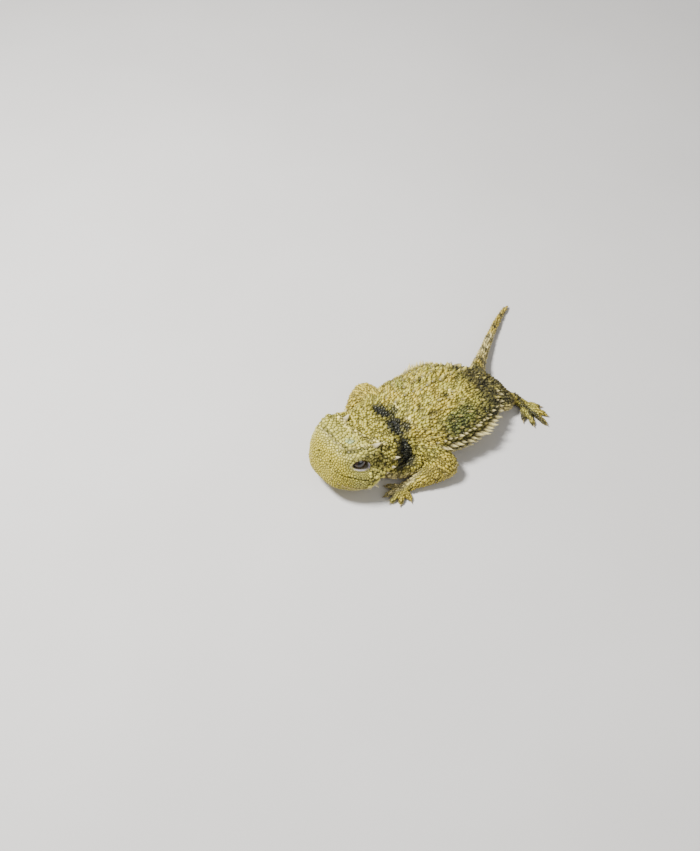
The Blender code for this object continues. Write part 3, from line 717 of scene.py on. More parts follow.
class MarkingsAndPaintedLight:
    """The shared node group that turns a point of the body, in millimetres, into its colour: its markings,
    with painted shade and painted highlights.
    """

    name = "markings"

    def build(self) -> bpy.types.NodeTree:
        """Builds the group.

        Returns:
            The node group, with a Point input and Colour and Darkness outputs. Darkness holds the dark marks
            and the painted shade of the rear and the left flank.
        """
        tree = bpy.data.node_groups.new(self.name, "ShaderNodeTree")
        tree.interface.new_socket("Point", in_out="INPUT", socket_type="NodeSocketVector")
        tree.interface.new_socket("Colour", in_out="OUTPUT", socket_type="NodeSocketColor")
        tree.interface.new_socket("Darkness", in_out="OUTPUT", socket_type="NodeSocketFloat")
        self.maker = NodeMaker(tree)
        entry = tree.nodes.new("NodeGroupInput").outputs["Point"]
        self.point = self._warped(entry)
        parts = self.maker.add("ShaderNodeSeparateXYZ", Vector=self.point)
        self.left = Signal(self.maker, parts.outputs["X"])
        self.forward = Signal(self.maker, parts.outputs["Y"]) * -1.0
        self.up = Signal(self.maker, parts.outputs["Z"])
        colour = self._ground()
        dark = self._dark()
        pale = self._ovals(PALE_MARKS, 0.55)
        colour = self.maker.mix(self._ovals(GREEN_MARKS, 0.6) * self._back(), colour, Tone.GREEN.value)
        colour = self.maker.mix(pale, colour, Tone.PALE.value)
        colour = self.maker.mix(dark, colour, Tone.DARK.value)
        leave = tree.nodes.new("NodeGroupOutput")
        tree.links.new(colour, leave.inputs["Colour"])
        tree.links.new(dark.math("MAXIMUM", self.shade).socket, leave.inputs["Darkness"])
        return tree

    def _warped(self, point: bpy.types.NodeSocket) -> bpy.types.NodeSocket:
        """The point moved a little by noise, which makes every mark's edge uneven."""
        noise = self.maker.add("ShaderNodeTexNoise", {"noise_dimensions": "3D"},
                               Vector=point, Scale=1.6, Detail=3.0, Roughness=0.6)
        centred = self.maker.add("ShaderNodeVectorMath", {"operation": "SUBTRACT"},
                                 in0=noise.outputs["Color"], in1=(0.5, 0.5, 0.5))
        moved = self.maker.add("ShaderNodeVectorMath", {"operation": "MULTIPLY_ADD"},
                               in0=centred.outputs[0], in1=(0.9, 0.9, 0.9), in2=point)
        return moved.outputs[0]

    def _noise(self, scale: float, detail: float = 2.0) -> Signal:
        """A noise pattern of a size over the body."""
        node = self.maker.add("ShaderNodeTexNoise", Vector=self.point, Scale=scale, Detail=detail)
        return Signal(self.maker, node.outputs["Fac"])

    def _back(self) -> Signal:
        """1 on the upper side of the body and 0 underneath."""
        return self.up.rise(0.9, 1.9)

    def _ground(self) -> bpy.types.NodeSocket:
        """The body's colour under its marks: back, flanks, head, limbs and belly, with painted shade over the
        rear, the left flank, the left temple and beside the crown's edges, and painted highlights on the
        crown.
        """
        cloudy = self._noise(0.45).rise(0.38, 0.62)
        colour = self.maker.mix(cloudy, Tone.BODY.value, Tone.LIMB.value)
        # The rear of the trunk: darker skin together with painted shade.
        rear = self.forward.rise(-2.4, -4.6) * self.forward.rise(-8.6, -7.8)
        colour = self.maker.mix(rear * 0.9, colour, Tone.REAR.value)
        # The left flank: its darker olive skin together with painted shade, where it lies turned from the
        # light.
        flank = self.left.rise(2.4, 4.6) * self.forward.rise(-7.5, -5.5) * self.forward.rise(3.6, 2.0)
        colour = self.maker.mix(flank * 0.85, colour, Tone.FLANK.value)
        side = self.left.rise(-3.4, -5.4) * self.forward.rise(-7.5, -5.5) * self.forward.rise(4.0, 2.4)
        colour = self.maker.mix(side * 0.45, colour, Tone.FLANK.value)
        # Painted shade of the rear and the left flank, which also dims the scales' pale ridges there.
        self.shade = (rear * 0.9).math("MAXIMUM", flank * 0.75)
        neck = self.forward.rise(5.0, 6.4)
        colour = self.maker.mix(neck, colour, Tone.NECK.value)
        tail = self.forward.rise(-7.8, -8.6) * self.left.rise(1.5, 0.6)
        colour = self.maker.mix(tail, colour, Tone.TAIL.value)
        arms = self.left.math("ABSOLUTE").rise(5.2, 6.0) * self.forward.rise(3.0, 3.6)
        colour = self.maker.mix(arms, colour, Tone.LIMB.value)
        head = self.forward.rise(10.0, 11.2)
        colour = self.maker.mix(head, colour, Tone.CROWN.value)
        snout = self.forward.rise(13.4, 14.6)
        colour = self.maker.mix(snout, colour, Tone.SNOUT.value)
        # Painted highlight: a pale green spot on the glossy middle of the crown.
        colour = self.maker.mix(self._ovals((CROWN_HIGHLIGHT,), 0.5), colour, Tone.SPOT.value)
        # Painted shade: lines beside the crown's raised edges, and the left temple under the brow.
        front, left_edge, rear_edge = CROWN_EDGES
        shade = [*stroke(front, 0.18, 0.75, (0.0, -EDGE_SHADE)),
                 *stroke(left_edge, 0.26, 0.9, (EDGE_SHADE, 0.0)),
                 *stroke(rear_edge, 0.30, 0.95, (0.0, -EDGE_SHADE)), TEMPLE_SHADE]
        colour = self.maker.mix(self._ovals(shade, 0.5), colour, Tone.FLANK.value)
        # The crown's raised edges painted pale: partly their own paler scales, partly a painted highlight.
        edge_highlight = [mark for edge in CROWN_EDGES for mark in stroke(edge, 0.16, 1.0)]
        colour = self.maker.mix(self._ovals(edge_highlight, 0.5), colour, Tone.PALE.value)
        behind = self.forward.rise(-7.0, -7.8) * self.left.rise(0.6, 1.4)
        limbs = self.left.math("ABSOLUTE").rise(4.9, 5.6).math("MAXIMUM", behind) * self.up.rise(0.0, 0.15)
        return self.maker.mix(self._back().math("MAXIMUM", limbs), Tone.BELLY.value, colour)

    def _dark(self) -> Signal:
        """The dark marks of the back, the tail's bands and faint blotches between them."""
        dark = self._ovals(DARK_MARKS, 0.55) * self._back()
        tail = self.forward.rise(-8.0, -8.5)
        for band in TAIL_BANDS:
            across = (self.forward + band).math("ABSOLUTE")
            dark = dark.math("MAXIMUM", across.rise(TAIL_BAND_HALF, TAIL_BAND_HALF * 0.5) * tail * 0.85)
        specks = self._noise(1.1).rise(0.60, 0.74) * self._back() * 0.35
        return dark.math("MAXIMUM", specks)

    def _ovals(self, marks: Iterable[Mark], core: float) -> Signal:
        """How much a point lies in any of several oval marks."""
        total: Signal | None = None
        for mark in marks:
            node = self.maker.add(
                "ShaderNodeMapping", {"vector_type": "TEXTURE"}, Vector=self.point,
                Location=(mark.left, -mark.forward, 0.0),
                Rotation=(0.0, 0.0, math.radians(mark.turn)),
                Scale=(mark.half_width, mark.half_length, 1e6))
            far = self.maker.add("ShaderNodeVectorMath", {"operation": "LENGTH"}, in0=node.outputs[0])
            inside = Signal(self.maker, far.outputs["Value"]).rise(1.25, core) * mark.strength
            total = inside if total is None else total.math("MAXIMUM", inside)
        return total


# Finishes

@dataclass(frozen=True)
class ScaleFinish:
    """Horny scales: the body's markings at each scale's root, darkened at the base as painted shade between
    the scales, and paler on the ridge, partly as a painted highlight, worn glossy.
    """

    name: str
    # the pale laid on each scale's ridge, partly a painted highlight
    ridge: tuple[float, float, float] = Tone.PALE.value
    # painted shade at the base of each scale, where the gaps between scales lie
    crease: tuple[float, float, float] = (0.12, 0.10, 0.04)
    ridge_share: float = 0.34
    base_share: float = 0.88
    spread: float = 0.42
    roughness: float = 0.46

    def material(self, markings: bpy.types.NodeTree) -> bpy.types.Material:
        """Builds the material.

        Args:
            markings: The shared group of the body's colours.

        Returns:
            The material, which reads the attributes root, tint and crest.
        """
        material, maker, shader = new_material(self.name)
        root = maker.add("ShaderNodeAttribute", {"attribute_name": "root"})
        tint, crest = maker.attribute("tint"), maker.attribute("crest")
        group = maker.add("ShaderNodeGroup", {"node_tree": markings}, Point=root.outputs["Vector"])
        dark = Signal(maker, group.outputs["Darkness"])
        lit = tint * (2 * self.spread) + (1.0 - self.spread)
        # Painted shade darkens each scale's base; the pale ridge, partly a painted highlight, is dimmed in
        # dark marks and painted shade.
        low = maker.mix((1 - crest.rise(0.05, 0.72)) * self.base_share,
                        maker.scaled(group.outputs["Colour"], lit), self.crease, "MULTIPLY")
        high = maker.mix(crest.rise(0.72, 1.0) * self.ridge_share * (1 - dark * 0.85), low, self.ridge)
        grain = maker.add("ShaderNodeTexNoise", Vector=maker.millimetres(), Scale=9.0, Detail=3.0)
        rough = Signal(maker, grain.outputs["Fac"]) * 0.25 + (self.roughness - 0.12)
        bump = maker.add("ShaderNodeBump", Strength=0.3, Distance=0.00003, Height=grain.outputs["Fac"])
        maker.finish(shader, Base_Color=high, Roughness=rough, Normal=bump.outputs["Normal"],
                     Specular_IOR_Level=0.42)
        return material


@dataclass(frozen=True)
class SkinFinish:
    """Bare skin between the scales: the body's markings, darkened as painted shade in the gaps, with a fine
    pebbled bump.
    """

    name: str = "lizard_skin"
    depth: float = 0.20
    lid: tuple[float, float, float] = srgb(196, 186, 190)

    def material(self, markings: bpy.types.NodeTree) -> bpy.types.Material:
        """Builds the material.

        Args:
            markings: The shared group of the body's colours.

        Returns:
            The material.
        """
        material, maker, shader = new_material(self.name)
        point = maker.millimetres()
        group = maker.add("ShaderNodeGroup", {"node_tree": markings}, Point=point)
        cells = maker.add("ShaderNodeTexVoronoi", {"feature": "F1"}, Vector=point, Scale=5.5)
        fine = maker.add("ShaderNodeTexNoise", Vector=point, Scale=7.0, Detail=4.0)
        pebble = Signal(maker, cells.outputs["Distance"]).rise(0.75, 0.1)
        # Painted shade: darker overall and at the pebbles' edges.
        shade = pebble * 0.5 + Signal(maker, fine.outputs["Fac"]) * 0.25 + (self.depth - 0.1)
        colour = maker.mix(maker.attribute("lid"), maker.scaled(group.outputs["Colour"], shade), self.lid)
        bump = maker.add("ShaderNodeBump", Strength=0.6, Distance=0.00006, Height=pebble)
        maker.finish(shader, Base_Color=colour, Roughness=Signal(maker, fine.outputs["Fac"]) * 0.2 + 0.55,
                     Normal=bump.outputs["Normal"], Specular_IOR_Level=0.35)
        return material


@dataclass(frozen=True)
class KeratinFinish:
    """Horns, spines and claws: horny, darker at the root and paler towards the point."""

    name: str
    root: tuple[float, float, float]
    tip: tuple[float, float, float]
    roughness: float = 0.4

    def material(self) -> bpy.types.Material:
        """Builds the material, which reads the attributes crest and tint."""
        material, maker, shader = new_material(self.name)
        crest, tint = maker.attribute("crest"), maker.attribute("tint")
        point = maker.millimetres()
        streak = maker.add("ShaderNodeTexNoise", Vector=point, Scale=6.0, Detail=4.0, Roughness=0.6)
        share = (crest + (Signal(maker, streak.outputs["Fac"]) - 0.5) * 0.6).rise(0.05, 0.8)
        colour = maker.scaled(maker.mix(share, self.root, self.tip), tint * 0.35 + 0.82)
        rough = Signal(maker, streak.outputs["Fac"]) * 0.3 + (self.roughness - 0.15)
        bump = maker.add("ShaderNodeBump", Strength=0.25, Distance=0.00003, Height=streak.outputs["Fac"])
        maker.finish(shader, Base_Color=colour, Roughness=rough, Normal=bump.outputs["Normal"])
        return material


@dataclass(frozen=True)
class EyeFinish:
    """A wet eye: a near black pupil in a dark brown iris, with a paler thin ring."""

    name: str = "lizard_eye"

    def material(self) -> bpy.types.Material:
        """Builds the material, which reads the attribute crest, 1 at the middle of the pupil."""
        material, maker, shader = new_material(self.name)
        ramp = maker.add("ShaderNodeValToRGB", {"stops": (
            (0.0, srgb(40, 28, 16)), (0.80, srgb(46, 32, 18)), (0.90, srgb(82, 58, 30)),
            (0.935, srgb(18, 13, 9)), (0.95, srgb(5, 4, 4)))}, Fac=maker.attribute("crest"))
        fine = maker.add("ShaderNodeTexNoise", Vector=maker.millimetres(), Scale=12.0)
        maker.finish(shader, Base_Color=ramp.outputs["Color"], Coat_Weight=0.5, Coat_Roughness=0.02,
                     Roughness=Signal(maker, fine.outputs["Fac"]) * 0.06 + 0.03)
        return material


# The body's skin

class Trunk:
    """The flat, broad trunk."""

    def heading(self, forward: float) -> float:
        """The angle of the trunk's middle line at a station, positive to the left."""
        step = 0.2
        rise = eased(TRUNK_SECTIONS, forward + step)[0] - eased(TRUNK_SECTIONS, forward - step)[0]
        return math.atan(rise / (2 * step))

    def point(self, forward: float, angle: float, grow: float = 0.0) -> Array:
        """A point of its surface: angle 0 is the left edge, a quarter turn the middle of the back."""
        middle, half, back, under, edge = eased(TRUNK_SECTIONS, forward)
        out = (half + grow) * math.cos(angle)
        rise = (back - edge if math.sin(angle) > 0 else edge - under) + grow
        up = edge + rise * math.copysign(abs(math.sin(angle)) ** BACK_ROUNDNESS, math.sin(angle))
        heading = self.heading(forward)
        return place(forward - out * math.sin(heading), middle + out * math.cos(heading),
                     max(up, max(0.0, -grow)))

    def ring(self, forward: float, sides: int, grow: float = 0.0) -> Array:
        """A ring of points from the middle of the back round by the left side."""
        turns = math.pi / 2 - 2 * math.pi * np.arange(sides) / sides
        return np.array([self.point(forward, turn, grow) for turn in turns])

    def body(self, grow: float) -> bpy.types.Object:
        """The trunk as a closed body."""
        stations = np.linspace(TRUNK_SECTIONS[0][0], TRUNK_SECTIONS[-1][0], 60)
        return loft("trunk", [self.ring(s, 96, grow) for s in stations])


class HeadForm:
    """The head's main form, from the occiput to the blunt snout."""

    steps = 5

    def outline(self, along: float) -> list[tuple[float, float]]:
        """Half the outline at a station, from the crown round to the chin, as out and up."""
        crown, brow, brow_up, temple, cheek, jaw, chin = eased(HEAD_SECTIONS, along)
        return [
            (0.0, crown),
            (brow * 0.55, crown + (brow_up - crown) * 0.25),
            (brow, brow_up),
            (max(brow * 0.97 + 0.05, (brow + temple) / 2), brow_up - 0.42),
            (temple, brow_up * 0.52),
            (cheek * 0.97, brow_up * 0.24),
            (cheek, 0.12),
            (jaw + (cheek - jaw) * 0.45, chin * 0.42),
            (jaw * 0.78, chin * 0.88),
            (0.0, chin),
        ]

    def ring(self, along: float, shrink: float = 0.0) -> Array:
        """The whole outline at a station, as points of the animal's frame."""
        half = self.outline(along)
        run = [(-half[1][0], half[1][1]), *half, (-half[-2][0], half[-2][1])]
        curve = []
        for i in range(1, len(run) - 2):
            p, a, b, q = (np.array(run[i + k]) for k in (-1, 0, 1, 2))
            for k in range(self.steps):
                t = k / self.steps
                curve.append(0.5 * (2 * a + (b - p) * t + (2 * p - 5 * a + 4 * b - q) * t**2
                                    + (3 * a - p - 3 * b + q) * t**3))
        curve.append(np.array(half[-1]))
        around = np.array(curve + [c * (-1, 1) for c in curve[-2:0:-1]])
        middle = np.array((0.0, (around[:, 1].max() + around[:, 1].min()) / 2))
        away = around - middle
        reach = np.linalg.norm(away, axis=1, keepdims=True)
        around = middle + away * np.maximum(reach - shrink, 0.1) / reach
        rows = np.column_stack((np.full(len(around), along), around))
        return HEAD.points(rows)

    def body(self, shrink: float) -> bpy.types.Object:
        """The head as a closed body."""
        stations = np.linspace(0.0, HEAD_SECTIONS[-1][0], 56)
        rings = [self.ring(s, shrink) for s in stations]
        count = len(rings[0])
        tip = HEAD.point(SNOUT_TIP[0] - shrink, 0.0, SNOUT_TIP[1])
        faces = loft_faces(len(rings), count, tip=False)
        start = (len(rings) - 1) * count
        faces += [(start + k, start + (k + 1) % count, len(rings) * count) for k in range(count)]
        return mesh_object("head_form", np.vstack((*rings, tip)), faces)


@dataclass
class Skin:
    """The one skin over the whole body, with folds, lids, lips, nostrils and ears worked into it."""

    voxel: float = 0.11
    coat: float = 0.07
    neck_swell: float = 0.13
    socket_depth: float = 0.62
    eye_opening: tuple[float, float] = (0.90, 0.54)  # half length and half height
    fold_depth: float = 0.26
    fold_lip: float = 0.12
    pit_depth: float = 0.12
    pit_lip: float = 0.06
    crown_edge: float = 0.17
    trunk: Trunk = field(default_factory=Trunk)
    head: HeadForm = field(default_factory=HeadForm)

    def build(self) -> bpy.types.Object:
        """Builds the skin in millimetres.

        Returns:
            The skin, with its bake map and the attributes lie, part and lid.
        """
        parts = [self.trunk.body(-self.coat), self.head.body(self.coat), self._neck(), self._tail()]
        for side in (1, -1):
            parts += [self._lids(side), self._throat(side), *self._shelf(side)]
        for limb in LIMBS:
            parts += self._limb(limb)
        skin = joined("skin", parts)
        mesher = skin.modifiers.new("mesher", "REMESH")
        mesher.mode, mesher.voxel_size = "VOXEL", self.voxel
        realized(skin)
        relax = skin.modifiers.new("relax", "SMOOTH")
        relax.factor, relax.iterations = 0.5, 5
        realized(skin)
        self._fold(skin.data)
        self._refine_head(skin)
        self._carve(skin.data)
        self._label(skin.data)
        self._unwrap(skin)
        return skin

    def _neck(self) -> bpy.types.Object:
        """The thick granular neck between the trunk and the occiput."""
        ahead = self.head.ring(0.35, self.coat + 0.12)
        behind = self.trunk.ring(5.9, len(ahead), -self.coat - 0.1)
        rings = []
        for share in np.linspace(0.0, 1.0, 14):
            eased_share = share * share * (3 - 2 * share)
            ring = behind * (1 - eased_share) + ahead * eased_share
            centre = ring.mean(0)
            rings.append(centre + (ring - centre) * (1 + self.neck_swell * math.sin(math.pi * share)))
        return loft("neck_form", rings)

    def _tail(self) -> bpy.types.Object:
        """The tail as one tapering tube."""
        table = with_distance(TAIL_SECTIONS)
        rows = [eased(table, s) for s in np.linspace(0.0, table[-1][0], 70)]
        return tube("tail_form", [place(*r[:3]) for r in rows],
                    [r[3] - self.coat * 0.7 for r in rows], [r[4] - self.coat * 0.7 for r in rows],
                    24, self.coat * 0.5)

    def _throat(self, side: int) -> bpy.types.Object:
        """The loose fold of skin from the throat to the shoulder on one side."""
        path = [place(10.3, side * 1.9 - 0.8, 1.0), place(9.2, side * 3.0 - 0.7, 1.0),
                place(7.9, side * 3.9 - 0.6, 1.1), place(6.4, side * 4.5 - 0.6, 1.3)]
        return tube("throat", path, (0.8, 0.95, 1.0, 1.0), (0.8, 0.95, 1.0, 1.1), 20, self.coat)

    def _shelf(self, side: int) -> list[bpy.types.Object]:
        """The bony shelf behind one eye, under the roots of its temporal horns."""
        parts = []
        for horn in TEMPORAL_HORNS:
            root = HEAD.point(horn.root[0] + 0.5, side * (horn.root[1] - 0.25), horn.root[2])
            tip = HEAD.sided(horn.tip, side)
            path = [root * (1 - t) + tip * t for t in (0.0, 0.3, 0.58)]
            parts.append(tube("shelf", path, (0.72, 0.62, 0.42), (0.6, 0.52, 0.34), 16))
        return parts

    def _lids(self, side: int) -> bpy.types.Object:
        """The swelling of the lids round one eye."""
        work = bmesh.new()
        bmesh.ops.create_uvsphere(work, u_segments=32, v_segments=24, radius=1.30 - self.coat)
        mesh = bpy.data.meshes.new("lids")
        work.to_mesh(mesh)
        work.free()
        centre = HEAD.sided(EYE_CENTRE, side)
        mesh.transform(Matrix.Translation(Vector(centre)))
        obj = linked("lids", mesh)
        return obj

    def _limb(self, limb: Limb) -> list[bpy.types.Object]:
        """One limb's arm or leg, palm and digits."""
        root, bend, wrist, palm = (place(*p) for p in (limb.root, limb.bend, limb.wrist, limb.palm))
        r = [value - self.coat for value in limb.radii]
        upper = tube(limb.name, [root * (1 - s) + bend * s for s in (0.0, 0.25, 0.5, 0.75, 1.0)],
                     (r[0], r[1], r[1], r[1] * 0.5 + r[2] * 0.5, r[2]),
                     (r[0], r[1], r[1], r[1] * 0.5 + r[2] * 0.5, r[2]), 32, self.coat)
        rows = ((0.0, r[2]), (0.4, r[3]), (1.0, r[4]))
        shares = np.linspace(0.0, 1.0, 9)
        radii = [float(eased(rows, s)[0]) for s in shares]
        lower = tube(limb.name, [bend * (1 - s) + wrist * s for s in shares], radii, radii, 32, self.coat)
        front = palm + unit(palm - wrist) * 0.35
        front[2] = 0.28
        wide = limb.palm_half_width - self.coat * 0.5
        path = [wrist, wrist * 0.5 + palm * 0.5, palm, front]
        hand = tube(limb.name, path, (r[4], (wide + r[4]) / 2, wide, wide * 0.6),
                    (r[4], 0.42, 0.36, 0.26), 24, self.coat * 0.4)
        pieces = [upper, lower, hand]
        for forward, left in limb.digits:
            tip = place(forward, left, 0.22)
            base, knuckle = palm * 0.88 + tip * 0.12, palm * 0.45 + tip * 0.55
            base[2], knuckle[2] = 0.34, 0.42
            far = tip * 0.85 + knuckle * 0.15
            q = limb.digit_radius + 0.02
            widths = (q, q * 0.92, q * 1.04, q * 0.86, q * 0.62)
            middle = base * 0.5 + knuckle * 0.5
            pieces.append(tube(limb.name, [base, middle, knuckle, far, tip], widths,
                               [w * 0.92 for w in widths], 14, self.coat * 0.3))
        return pieces

    def _refine_head(self, skin: bpy.types.Object) -> None:
        """Halves the faces of the head ahead of the ears, where the finest forms lie."""
        work = bmesh.new()
        work.from_mesh(skin.data)
        own = HEAD.own(np.array([v.co[:] for v in work.verts]))
        fine = (own[:, 0] > 0.3) & (own[:, 2] > -2.4) & (np.abs(own[:, 1]) < 4.6)
        edges = [e for e in work.edges if fine[e.verts[0].index] and fine[e.verts[1].index]]
        bmesh.ops.subdivide_edges(work, edges=edges, cuts=1, use_grid_fill=True, smooth=0.0)
        work.to_mesh(skin.data)
        work.free()

    def _carve(self, mesh: bpy.types.Mesh) -> None:
        """Works the eye openings, lips, nostrils and ears into the head."""
        points = points_of(mesh)
        own = HEAD.own(points)
        near = (own[:, 0] > -1.0) & (np.abs(own[:, 1]) < 6.0)
        index = np.nonzero(near)[0]
        shaped = own[index]
        normals = unit(normals_of(mesh)[index] @ HEAD.turn)
        normals = np.stack((-normals[:, 1], normals[:, 0], normals[:, 2]), 1)
        shaped = shaped + normals * self._relief(shaped)[:, None]
        lids = np.zeros(len(points))
        for side in (1, -1):
            shaped, lid = self._eye_opening(shaped, side)
            lids[index] = np.maximum(lids[index], lid)
        store(mesh, "lid", lids)
        points[index] = HEAD.points(shaped)
        points[:, 2] = np.maximum(points[:, 2], 0.0)
        move_points(mesh, points)

    def _fold(self, mesh: bpy.types.Mesh) -> None:
        """Sinks the dark fold over the nape, and the pits at the dark marks, with raised lips."""
        points = points_of(mesh)
        normals = normals_of(mesh)
        left, forward = points[:, 0], -points[:, 1]
        upper = smoothstep(1.6, 2.6, points[:, 2])
        away = forward - np.interp(left, *np.transpose(NAPE_FOLD))
        rise = self.fold_lip * bell(away, -1.0, 0.35) - self.fold_depth * bell(away, 0.0, 0.42)
        rise *= smoothstep(4.8, 3.6, np.abs(left + 0.5))
        for mark in DARK_MARKS:
            far = np.hypot((left - mark.left) / mark.half_width,
                           (forward - mark.forward) / mark.half_length)
            rise += self.pit_lip * bell(far, 1.35, 0.25) - self.pit_depth * smoothstep(1.1, 0.5, far)
        points += normals * (rise * upper)[:, None]
        move_points(mesh, points)

    def _relief(self, own: Array) -> Array:
        """How far the head's skin stands out at points of the head's frame."""
        along, out, up = own[:, 0], np.abs(own[:, 1]), own[:, 2]
        lip = smoothstep(1.2, 1.6, along)
        line = -0.05 + 0.10 * smoothstep(2.6, 1.3, along)
        rise = up - line
        mouth = -0.13 * bell(rise, 0.0, 0.055) + 0.045 * np.exp(-(np.abs(rise) - 0.22) ** 2 / 0.018)
        outer = smoothstep(0.0, 1.0, np.maximum(out, along - 3.4))
        total = mouth * lip * outer * (np.abs(rise) < 0.7)
        for (centre, radius, depth, rim) in (
            (NOSTRIL, 0.17, 0.20, 0.05), (EAR, 0.36, 0.28, 0.06),
        ):
            far = np.sqrt((along - centre[0]) ** 2 + (out - centre[1]) ** 2 + (up - centre[2]) ** 2)
            total += -depth * smoothstep(radius, radius * 0.45, far)
            total += rim * bell(far, radius * 1.35, radius * 0.35)
        plan = HEAD.points(own)
        for edge in CROWN_EDGES:
            line = resampled(edge)
            gap = np.hypot(plan[:, 0, None] - line[:, 0], -plan[:, 1, None] - line[:, 1]).min(1)
            crest = self.crown_edge * bell(gap, 0.0, 0.15) - 0.05 * bell(gap, 0.42, 0.14)
            total += crest * smoothstep(1.5, 2.0, up)
        return total

    def _eye_opening(self, own: Array, side: int) -> tuple[Array, Array]:
        """Opens the lids of one eye: a rolled rim round an oval that goes in to the socket.

        Args:
            own: Points of the head's frame.
            side: 1 for the left eye or -1 for the right.

        Returns:
            The moved points, and how much each lies on the pale lower lid.
        """
        centre = np.array((EYE_CENTRE[0], side * EYE_CENTRE[1], EYE_CENTRE[2]))
        look = unit(np.array((EYE_LOOK[0], side * EYE_LOOK[1], EYE_LOOK[2])))
        length = unit(np.cross(look, (0.0, 0.0, 1.0)))
        lift = np.cross(length, look)
        if lift[2] < 0:
            lift = -lift
        away = own - centre
        a, b, c = away @ length, away @ lift, away @ look
        facing = c > 0.2
        b_bent = b + 0.10 * (a / 0.8) ** 2
        share = np.hypot(a / self.eye_opening[0], b_bent / self.eye_opening[1])
        inside = smoothstep(1.03, 0.93, share) * facing
        rim = bell(share, 1.22, 0.16) * facing * (share > 0.9)
        lid = bell(share, 1.12, 0.12) * facing * (b < 0.15)
        moved = own + np.outer(rim * 0.07, look)
        depth = np.maximum(c - self.socket_depth, 0.0) * inside
        return moved - np.outer(depth, look), lid

    def _bones(self) -> list[tuple[int, Array, Array, float]]:
        """Straight lengths of the body as part number, start, end and radius, each lying rearwards."""
        tail = [place(*row[:3]) for row in TAIL_SECTIONS]
        bones = [
            (Part.TRUNK.value, place(6.0, -0.9, 2.6), place(-6.6, -1.0, 2.0), 3.2),
            (Part.NECK.value, HEAD.point(0.9, 0, 0.2), place(6.0, -0.9, 2.6), 2.8),
            (Part.HEAD.value, HEAD.point(5.4, 0, 0.1), HEAD.point(0.4, 0, 0.2), 2.6),
        ]
        bones += [(Part.TAIL.value, a, b, 0.8) for a, b in zip(tail[1:], tail[2:])]
        for limb in LIMBS:
            root, bend, wrist, palm = (place(*p) for p in (limb.root, limb.bend, limb.wrist, limb.palm))
            bones += [(Part.LIMB.value, root, bend, 1.3), (Part.LIMB.value, bend, wrist, 1.0),
                      (Part.HAND.value, wrist, palm, 0.6)]
            bones += [(Part.HAND.value, palm, place(*tip, 0.25), 0.3) for tip in limb.digits]
        return bones

    def _label(self, mesh: bpy.types.Mesh) -> None:
        """Stores which part each vertex belongs to and which way its scales lie."""
        points = points_of(mesh)
        near = np.full(len(points), np.inf)
        part = np.zeros(len(points))
        lie = np.zeros_like(points)
        for number, start, end, radius in self._bones():
            along = end - start
            t = np.clip(((points - start) @ along) / (along @ along), 0, 1)
            far = np.linalg.norm(points - start - t[:, None] * along, axis=1) / radius
            closer = far < near
            near[closer], part[closer] = far[closer], number
            lie += unit(along) * (1 / np.maximum(far, 0.05) ** 6)[:, None]
        store(mesh, "lie", unit(lie))
        store(mesh, "part", part)

    def _unwrap(self, skin: bpy.types.Object) -> None:
        """Unwraps the skin's own shape into the bake map."""
        skin.data.uv_layers.new(name=BAKE_MAP)
        bpy.context.view_layer.objects.active = skin
        skin.select_set(True)
        bpy.ops.object.mode_set(mode="EDIT")
        bpy.ops.mesh.select_all(action="SELECT")
        bpy.ops.uv.smart_project(angle_limit=math.radians(70), island_margin=0.002)
        bpy.ops.object.mode_set(mode="OBJECT")
        skin.select_set(False)


class Part(Enum):
    """The parts of the body that the skin is labelled by."""

    TRUNK = 0
    NECK = 1
    HEAD = 2
    TAIL = 3
    LIMB = 4
    HAND = 5


# Shapes that are repeated

class ScaleShape(Enum):
    """The small shapes that the coat repeats, one unit long, with +Y towards the tail."""

    KEELED = "keeled"
    GRANULE = "granule"
    FLAT = "flat"
    SPINE = "spine"

    def template(self) -> bpy.types.Object:
        """The shape as an object with the attribute crest and a flat map of its own."""
        rings, crests = self._rings()
        count = len(rings[0])
        points = np.concatenate(rings)
        obj = mesh_object("shape_" + self.value, points, loft_faces(len(rings), count))
        crest = np.repeat(crests, count)
        mesh = obj.data
        store(mesh, "crest", crest)
        layer = mesh.uv_layers.new(name="patch")
        reach = np.abs(points[:, :2]).max() * 2
        flat = points[:, :2] / reach
        for loop in mesh.loops:
            layer.uv[loop.index].vector = flat[loop.vertex_index]
        work = bmesh.new()
        work.from_mesh(mesh)
        bmesh.ops.remove_doubles(work, verts=work.verts, dist=1e-4)
        work.to_mesh(mesh)
        work.free()
        return obj

    def _rings(self) -> tuple[list[Array], list[float]]:
        """The shape's rings from its sunk base to its ridge or point, and their crest values."""
        sides = {"keeled": 8, "granule": 7, "flat": 7, "spine": 6}[self.value]
        turns = 2 * math.pi * np.arange(sides) / sides
        round_x, round_y = np.sin(turns), np.cos(turns)
        if self is ScaleShape.KEELED:
            back = np.where(round_y > 0, round_y * 0.62, round_y * 0.42)
            side = round_x * 0.40
            base = np.column_stack((side, back * 0.9, np.full(sides, -0.16)))
            shoulder = np.column_stack((side, back, 0.07 + 0.10 * np.maximum(back, 0)))
            ridge = np.column_stack((np.zeros(sides), back * 0.94, 0.24 + 0.20 * back))
            return [base, shoulder, ridge], [0.0, 0.35, 1.0]
        if self is ScaleShape.SPINE:
            rings, crests = [], []
            for far, wide, bend in ((-0.25, 1.0, 0.0), (0.0, 1.0, 0.0), (0.35, 0.72, 0.03),
                                    (0.7, 0.36, 0.10), (1.0, 0.04, 0.20)):
                rings.append(np.column_stack((round_x * wide, round_y * wide + bend * 1.5,
                                              np.full(sides, far))))
                crests.append(max(far, 0.0))
            return rings, crests
        wide, tall = (0.5, 0.30) if self is ScaleShape.GRANULE else (0.52, 0.12)
        rings = [np.column_stack((round_x * wide * share, round_y * wide * share, np.full(sides, up)))
                 for share, up in ((0.95, -0.14), (1.0, tall * 0.25), (0.72, tall * 0.78), (0.25, tall))]
        return rings, [0.0, 0.3, 0.75, 1.0]


